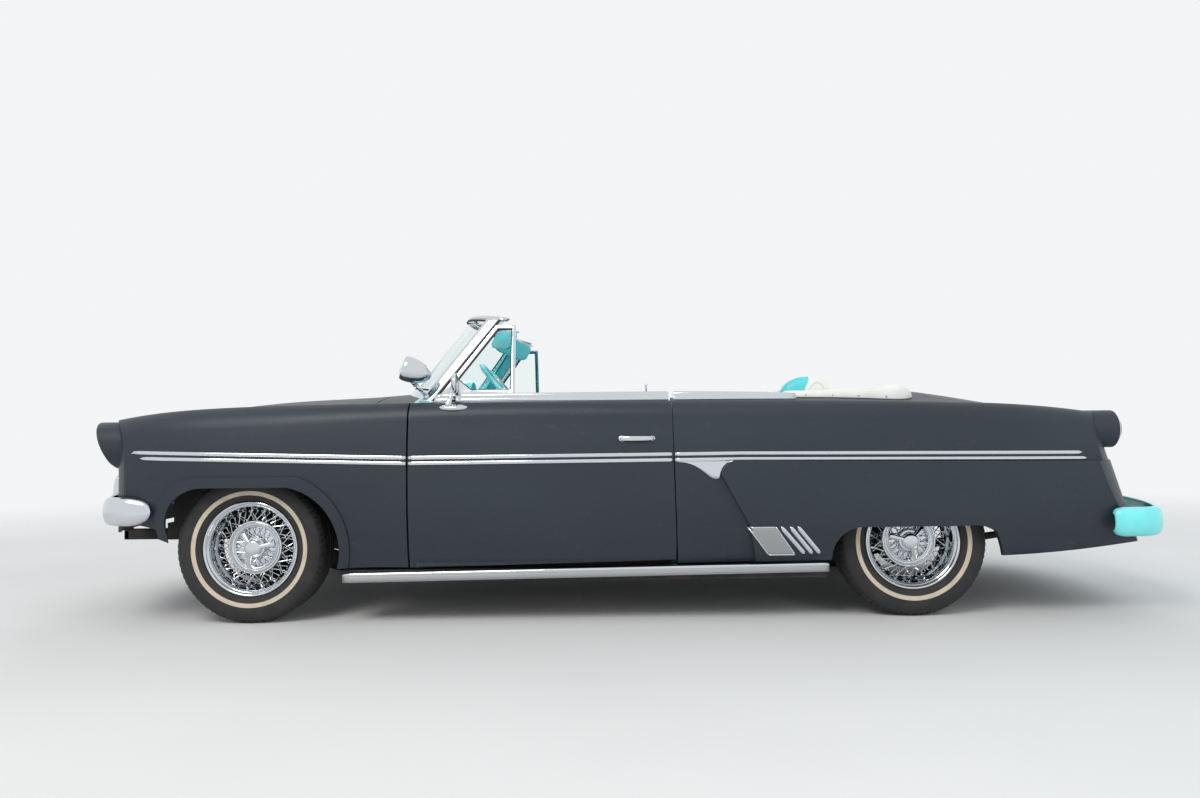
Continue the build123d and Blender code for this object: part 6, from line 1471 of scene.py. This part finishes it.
rear_cushion = [(-0.302, 0.350), (-0.292, 0.534), (-0.572, 0.548), (-0.572, 0.350)], [0.04, 0.05, 0.02, 0.02]
rear_back = ([(-0.542, REAR_SEAT_Z), (-0.715, 0.960), (-0.744, 1.012), (-0.786, 1.042), (-0.845, 1.046),
              (-0.890, 1.038), (-0.912, 1.008), (-0.914, 0.975), (-0.802, REAR_SEAT_Z)],
             [0.02, 0.04, 0.03, 0.03, 0.03, 0.03, 0.03, 0.03, 0.02])
rear_foot = [(-0.310, SEAT_FLOOR_Z), (-0.310, 0.356), (-0.572, 0.356), (-0.572, SEAT_FLOOR_Z)]
rear_bench = [pad("rear_cushion", *rear_cushion, REAR_HALF, (0.35, 1.9)),
              pad("rear_back", *rear_back, REAR_HALF, (0.15, 1.5), rise=0.031, cap_x=0.825),
              plinth("rear_plinth", rear_foot, REAR_HALF - 0.020)]
END_PAD = tenths((4, -120), (460, -120), (460, 0), (400, 35), (200, 55), (4, 60))
for side in (1, -1):
    y = side * (REAR_HALF - 0.026)
    rear_bench += [piping(*rear_cushion, y, 0.0075, WELT_R), piping(*rear_back, y, 0.0060, 2 * WELT_R)]
    curl = []
    for turn in (math.radians(-8 + 176 * k / 24) for k in range(25)):
        middle = (-0.862 - 0.045 * math.cos(turn), side * (REAR_HALF - 0.004), 0.985 + 0.068 * math.sin(turn))
        curl.append(oval(middle, Vector((-math.cos(turn), 0, math.sin(turn))) * 0.016, (0, 0.010, 0), 12))
    rear_bench.append(skin("end_roll", curl, WHITE_VINYL))
    rear_bench.append(lathe("end_pad", END_PAD, lambda u, v, w: (-0.862 + u, side * (REAR_HALF - 0.002 + w),
                                                                 0.990 + v * 1.35), 40, WHITE_VINYL))
rear_seat = joined("rear_bench_seat", rear_bench)
finish_piece(rear_seat, "body", "rear_seat")

# visor layers: share of the full size, height
VISOR = tenths((8000, -75), (9200, -66), (9850, -36), (10000, 0), (9850, 36), (9200, 66), (8000, 75))
visors = []
for side in (1, -1):
    rod_in, rod_out = Vector((0.672, 0.075, 1.360)), Vector((0.537, 0.425, 1.318))
    hang, width = Vector((0.045, 0.0, -0.089)), rod_out - rod_in
    middle, thick = (rod_in + rod_out) / 2 + hang / 2, width.cross(hang).normalized()
    layers = []
    for share, height in VISOR:
        rim = [middle + width * (math.copysign(min(abs(u), 0.5), u) * (1 - (1 - share) * 0.35))
               + hang * (v * (1 - (1 - share) * 1.1)) + thick * height for u, v in rounded(0.5, -0.5, 0.5, 0.24)]
        layers.append([(q.x, side * q.y, q.z) for q in rim])
    visors.append(skin("visor", layers, TURQUOISE_VINYL))
    for name, rods in (("visor_rod", [(rod_in, rod_out, 0.0050)]),
                       ("visor_arm", [((0.668, 0.085, 1.359), (0.722, 0.125, 1.378), 0.0055),
                                      ((0.722, 0.125, 1.378), (0.790, 0.140, 1.396), 0.0060)])):
        rods = [((a[0], side * a[1], a[2]), (b[0], side * b[1], b[2]), radius) for a, b, radius in rods]
        visors.append(rods_object(name, rods, CHROME, 14))
visor_pair = joined("visor_pair", visors)
finish_piece(visor_pair, "body", "sun_visors")


# The cover of the folded top: a padded ribbon between its outer edge on the body and its inner edge at the seat
def ways_along(points):
    ways = [0.0]
    for a, b in zip(points, points[1:]):
        ways.append(ways[-1] + (b - a).length)
    return ways


def spaced(path, count):
    """Evenly spaced points on a path, its two ends included."""
    path = [Vector(point) for point in path]
    ways = ways_along(path)
    made, at = [], 0
    for wanted in (ways[-1] * k / count for k in range(count + 1)):
        while at < len(path) - 2 and ways[at + 1] < wanted:
            at += 1
        made.append(path[at].lerp(path[at + 1], (wanted - ways[at]) / (ways[at + 1] - ways[at])))
    return made


rear_corner = through((-1.174, 0.7225), (-1.274, 0.678), (-1.313, 0.584), 10)
OUTER_RUNS = [[(-0.691, 0.697), (-0.692, 0.722), (-0.700, 0.736), (-0.715, 0.741), (-0.80, 0.7385),
               (-0.95, 0.732)],
              [(-0.95, 0.732), (-1.10, 0.7262)] + rear_corner + [(-1.313, 0.584), (-1.322, 0.50), (-1.329, 0.40)],
              [(-1.329, 0.40), (-1.336, 0.30), (-1.341, 0.15), (-1.343, 0.0)]]
INNER_RUNS = [[(-0.691, 0.693), (-0.692, 0.668), (-0.700, 0.654), (-0.715, 0.6488), (-0.80, 0.6485),
               (-0.910, 0.6485)],
              [(-0.910, 0.6485), (-0.926, 0.646), (-0.934, 0.632), (-0.936, 0.60), (-0.936, 0.40)],
              [(-0.936, 0.40), (-0.936, 0.0)]]
outer_line, inner_line = [], []
for line, runs in ((outer_line, OUTER_RUNS), (inner_line, INNER_RUNS)):
    for path, number in zip(runs, (24, 44, 24)):
        line += spaced(path, number)[1 if line else 0:]
    line += [Vector((p.x, -p.y)) for p in reversed(line[:-1])]
boot_trees = [tree_of(quarter), tree_of(deck)]
SIDE_TOP = [(-0.69, 1.004), (-0.93, 1.011), (-1.07, 1.012), (-1.215, 1.028), (-1.30, 1.014), (-1.344, 0.998)]
MIDDLE_TOP = [(-0.93, 1.022), (-1.05, 1.027), (-1.18, 1.037), (-1.28, 1.043), (-1.344, 1.040)]
ACROSS, EDGE_ROLL, END_ROLL, SNAP_PITCH = 26, 0.040, 0.045, 0.125
WELL_EDGE_Z, BODY_LOW_Z, CLEAR = 0.968, 0.90, 0.0012


def under(point):
    """The height of the body under the cover, or 0 over the well."""
    hits = [tree.ray_cast(Vector((point.x, abs(point.y), 1.3)), Vector((0, 0, -1)))[0] for tree in boot_trees]
    return max([hit.z for hit in hits if hit is not None and hit.z > BODY_LOW_Z], default=0.0)


def edge_height(point):
    below = under(point)
    return below + CLEAR if below else WELL_EDGE_Z


def height_at(x, rows):
    for (ax, ah), (bx, bh) in zip(rows, rows[1:]):
        if bx <= x <= ax:
            return ah + (bh - ah) * eased_step((ax - x) / (ax - bx))
    return rows[0][1] if x > rows[0][0] else rows[-1][1]


def boot_top(x, y):
    side, middle = height_at(x, SIDE_TOP), height_at(x, MIDDLE_TOP)
    waves = ((0.0022, 14, 9.0, 0.0), (0.0016, -9, 23.0, 1.0), (0.0012, 37, 6, 0.0))
    return (side + (middle - side) * max(0.0, 1 - (abs(y) / 0.70) ** 1.6)
            + sum(size * math.sin(by_x * x + by_y * y + shift) for size, by_x, by_y, shift in waves))


def roll(distance, length):
    """From 0 to 1 over a length, as a quarter of a circle."""
    return math.sqrt(max(0.0, 1 - max(0.0, 1 - distance / length) ** 2))


ways = ways_along(outer_line)
rings = []
for way, out_edge, in_edge in zip(ways, outer_line, inner_line):
    low_out, low_in = edge_height(out_edge), edge_height(in_edge)
    scallop = 0.5 - 0.5 * math.cos(2 * math.pi * way / SNAP_PITCH)
    top_row, low_row = [], []
    for s in (0.5 - 0.5 * math.cos(math.pi * k / ACROSS) for k in range(ACROSS + 1)):
        p = out_edge.lerp(in_edge, s)
        low = low_out + (low_in - low_out) * s
        far = (out_edge - in_edge).length * min(s, 1 - s)
        below = under(p)
        floor_z = max(low - 0.012, below + CLEAR) if below else low
        rise = roll(far, EDGE_ROLL) * roll(min(way, ways[-1] - way), END_ROLL)
        pull = 0.0032 * scallop * (1 - min(1.0, far / 0.10)) * min(1.0, far / 0.012)
        top = max(boot_top(p.x, p.y), floor_z + 0.010)
        z = low + 0.005 + (top - low - 0.005) * rise - 0.0022 * groove(far - 0.022, 0.0045) + pull
        top_row.append((p.x, p.y, max(z, floor_z + 0.004)))
        low_row.append((p.x, p.y, floor_z))
    rings.append(top_row + low_row[::-1])
boot = skin("boot_sheet", rings, WHITE_VINYL)
SNAP = tenths((4, -40), (60, -40), (60, 10), (48, 30), (25, 40), (4, 42))
snaps = []
for i in range(1, len(outer_line)):
    if ways[i] // SNAP_PITCH == ways[i - 1] // SNAP_PITCH or outer_line[i].x > -0.72:
        continue
    across = (outer_line[i] - inner_line[i]).normalized().to_3d()
    at = outer_line[i].to_3d() + Vector((0, 0, edge_height(outer_line[i]) + 0.013)) - across * 0.004
    out = (across + Vector((0, 0, 0.55))).normalized()
    snap = lathe("snap", SNAP, plainly, 16, CHROME)
    snap.data.transform(Matrix.Translation(at) @ out.to_track_quat("Z", "Y").to_matrix().to_4x4())
    snaps.append(snap)
cover = joined("top_cover", [boot] + snaps)
finish_piece(cover, "body", "top_boot")

for left_over in (outer_form, inner_form, wide_form, flare_form, surface_form, surface_wide, wheel_shape, tyre_shape):
    bpy.data.objects.remove(left_over)

# ---------------------------------------------------------------- carried-over solids
CARRIED = {
    BLACK: ["chassis_frame", "body_tub", "engine_block", "front_suspension", "rear_axle", "knuckle_left",
            "knuckle_right"],
    GLASS: ["vent_glass_left", "vent_glass_right"],
    STEEL: ["exhaust"],
}
for material, names in CARRIED.items():
    for name in names:
        coat(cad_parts[name], material)


# ---------------------------------------------------------------- stage and light
def make_floor():
    """A pale round floor that fades out before its edge."""
    shader = (Shader("pale_floor", (0.70, 0.70, 0.69), 0.85).tint(noise(0.8, 6.0), 0.3, 0.8, (0.66, 0.66, 0.65))
              .bump(noise(45.0, 5.0), 0.001, 0.3))
    tree = shader.tree
    reach = node(tree, "ShaderNodeVectorMath", {0: shader.place}, operation="LENGTH")
    fade = node(tree, "ShaderNodeMapRange", {"From Min": 3.5, "From Max": 9.0, "Value": reach.outputs["Value"]},
                interpolation_type="SMOOTHSTEP")
    clear = node(tree, "ShaderNodeBsdfTransparent")
    both = node(tree, "ShaderNodeMixShader", {0: fade.outputs["Result"], 1: tree.nodes["Principled BSDF"].outputs[0],
                                              2: clear.outputs[0]})
    feed(tree, tree.nodes["Material Output"].inputs["Surface"], both.outputs[0])
    rim = oval((0, 0, 0), (10.0, 0, 0), (0, 10.0, 0), 96)
    new_object("floor", rim, [tuple(range(len(rim)))], shader.material)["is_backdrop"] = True


def make_sky():
    """A white surrounding for the camera and for what mirrors it, and a bluish one that lights the car."""
    world = bpy.data.worlds.new("sky")
    SCENE.world = world
    world.use_nodes = True
    tree = world.node_tree
    back = tree.nodes["Background"]
    feed(tree, back.inputs["Color"], (0.86, 0.90, 0.95, 1))
    feed(tree, back.inputs["Strength"], 0.75)
    white = node(tree, "ShaderNodeBackground", {"Color": (0.90, 0.91, 0.92, 1), "Strength": 1.0})
    rays = node(tree, "ShaderNodeLightPath").outputs
    seen = rays["Is Camera Ray"]
    for ray in ("Is Glossy Ray", "Is Transmission Ray"):
        seen = node(tree, "ShaderNodeMath", {0: seen, 1: rays[ray]}, operation="MAXIMUM").outputs[0]
    pick = node(tree, "ShaderNodeMixShader", {0: seen, 1: back.outputs[0], 2: white.outputs[0]})
    feed(tree, tree.nodes["World Output"].inputs["Surface"], pick.outputs[0])


# name, place, size, power, colour
LAMPS = [("key", (3.0, 6.0, 6.5), 4.0, 330.0, (1.0, 0.97, 0.93)),
         ("fill", (-5.0, 5.0, 4.0), 6.0, 130.0, (0.92, 0.96, 1.0)),
         ("back", (0.0, -7.0, 5.5), 7.0, 260.0, (1.0, 1.0, 1.0))]
make_floor()
make_sky()
for name, place, size, power, color in LAMPS:
    data = bpy.data.lights.new(name, "AREA")
    data.shape, data.size, data.energy, data.color = "DISK", size, power, color
    lamp = bpy.data.objects.new(name, data)
    lamp.visible_glossy = name == "key"
    SCENE.collection.objects.link(lamp)
    lamp.location = place
    lamp.rotation_euler = (Vector((0, 0, 0.5)) - Vector(place)).to_track_quat("-Z", "Y").to_euler()
SCENE.view_settings.view_transform = "Standard"

low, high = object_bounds()
